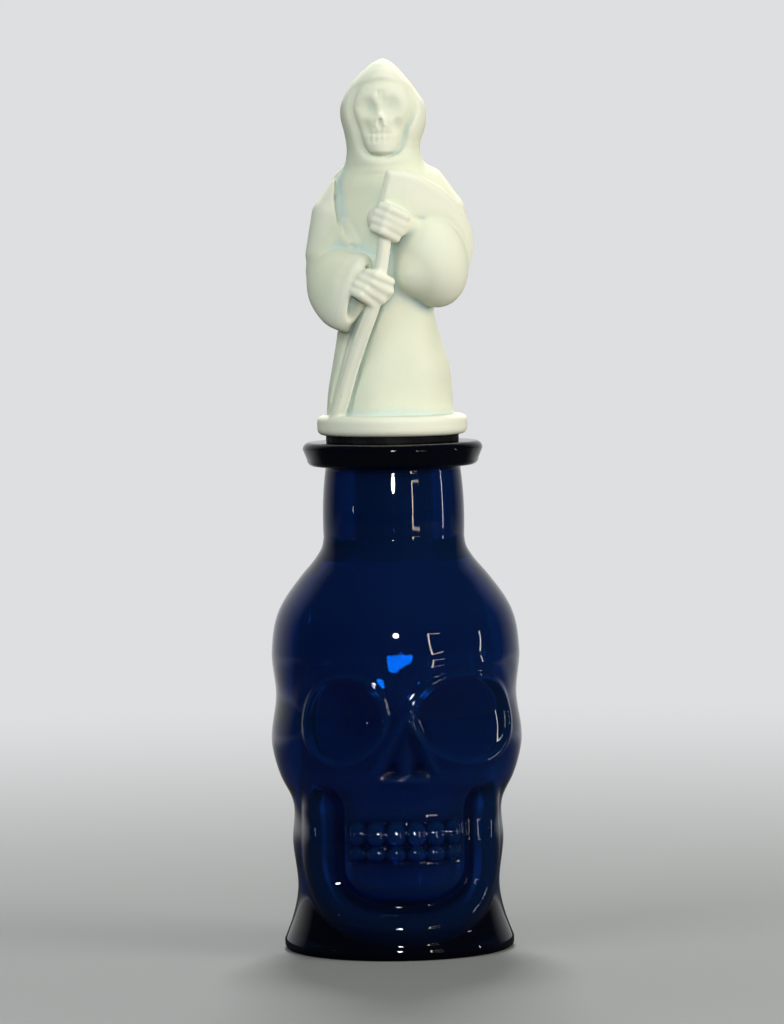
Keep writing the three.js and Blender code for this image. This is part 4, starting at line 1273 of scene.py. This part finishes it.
def light(kind, target, name, place, power, colour):
    lamp = bpy.data.lights.new(name, kind)
    lamp.energy = power
    lamp.color = colour
    made = placed(name, lamp)
    made.location = place
    made.rotation_euler = (target - place).to_track_quat("-Z", "Y").to_euler()
    return made


def area_light(target, name, way, size, power, colour, missed_by):
    place = MIDDLE + AWAY * way[0] + RIGHT * way[1] + UP * way[2]
    made = light("AREA", target, name, place, power, colour)
    made.data.shape = "RECTANGLE"
    made.data.size, made.data.size_y = size
    for ray in missed_by:
        setattr(made, f"visible_{ray}", False)


def lights():
    """A lamp above the lens, whose spark shows in the glass, and those of the table."""
    place = AWAY * DISTANCE + UP * (EYE_HEIGHT + SPARK_RISE)
    spark = light("SPOT", MIDDLE, "front_spark", place, SPARK_POWER, WHITE).data
    spark.shadow_soft_size = SPARK_RADIUS
    spark.spot_size = SPARK_CONE
    spark.spot_blend = 0.5
    for lamp in LAMPS:
        area_light(MIDDLE, *lamp)
    area_light(GLINT_AIM, *GLINT)


def camera():
    data = bpy.data.cameras.new("view")
    made = placed("view", data)
    target = RIGHT * AIM_SIDE + MIDDLE
    place = target + AWAY * DISTANCE + UP * (EYE_HEIGHT - AIM_HEIGHT)
    back = (place - target).normalized()
    upright = back.cross(RIGHT).normalized()
    turn = Matrix.Rotation(-CAMERA_ROLL, 3, back)
    axes = Matrix((turn @ RIGHT, turn @ upright, back)).transposed()
    made.matrix_world = Matrix.Translation(place) @ axes.to_4x4()
    data.sensor_fit = "VERTICAL"
    data.sensor_height = SENSOR_HEIGHT
    data.lens = SENSOR_HEIGHT * (place - target).length / VIEW_HEIGHT
    bpy.context.scene.camera = made


def assign(node, material):
    slots = bpy.data.objects[node].data.materials
    slots.clear()
    slots.append(material)


bottle = skull_bottle(painted("blue_glass", glass_look))
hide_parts("skull_bottle")
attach(bottle, "bottle")

figure = reaper(painted("pale_resin", resin_look))
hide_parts("reaper_stopper")
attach(figure, "stopper")

assign("cork_sleeve", painted("cork", cork_look))
assign("lip_washer", painted("black_rubber", rubber_look))
pale_floor(painted("pale_floor", floor_look))
room()
lights()
camera()
bpy.context.scene.view_settings.view_transform = "Standard"
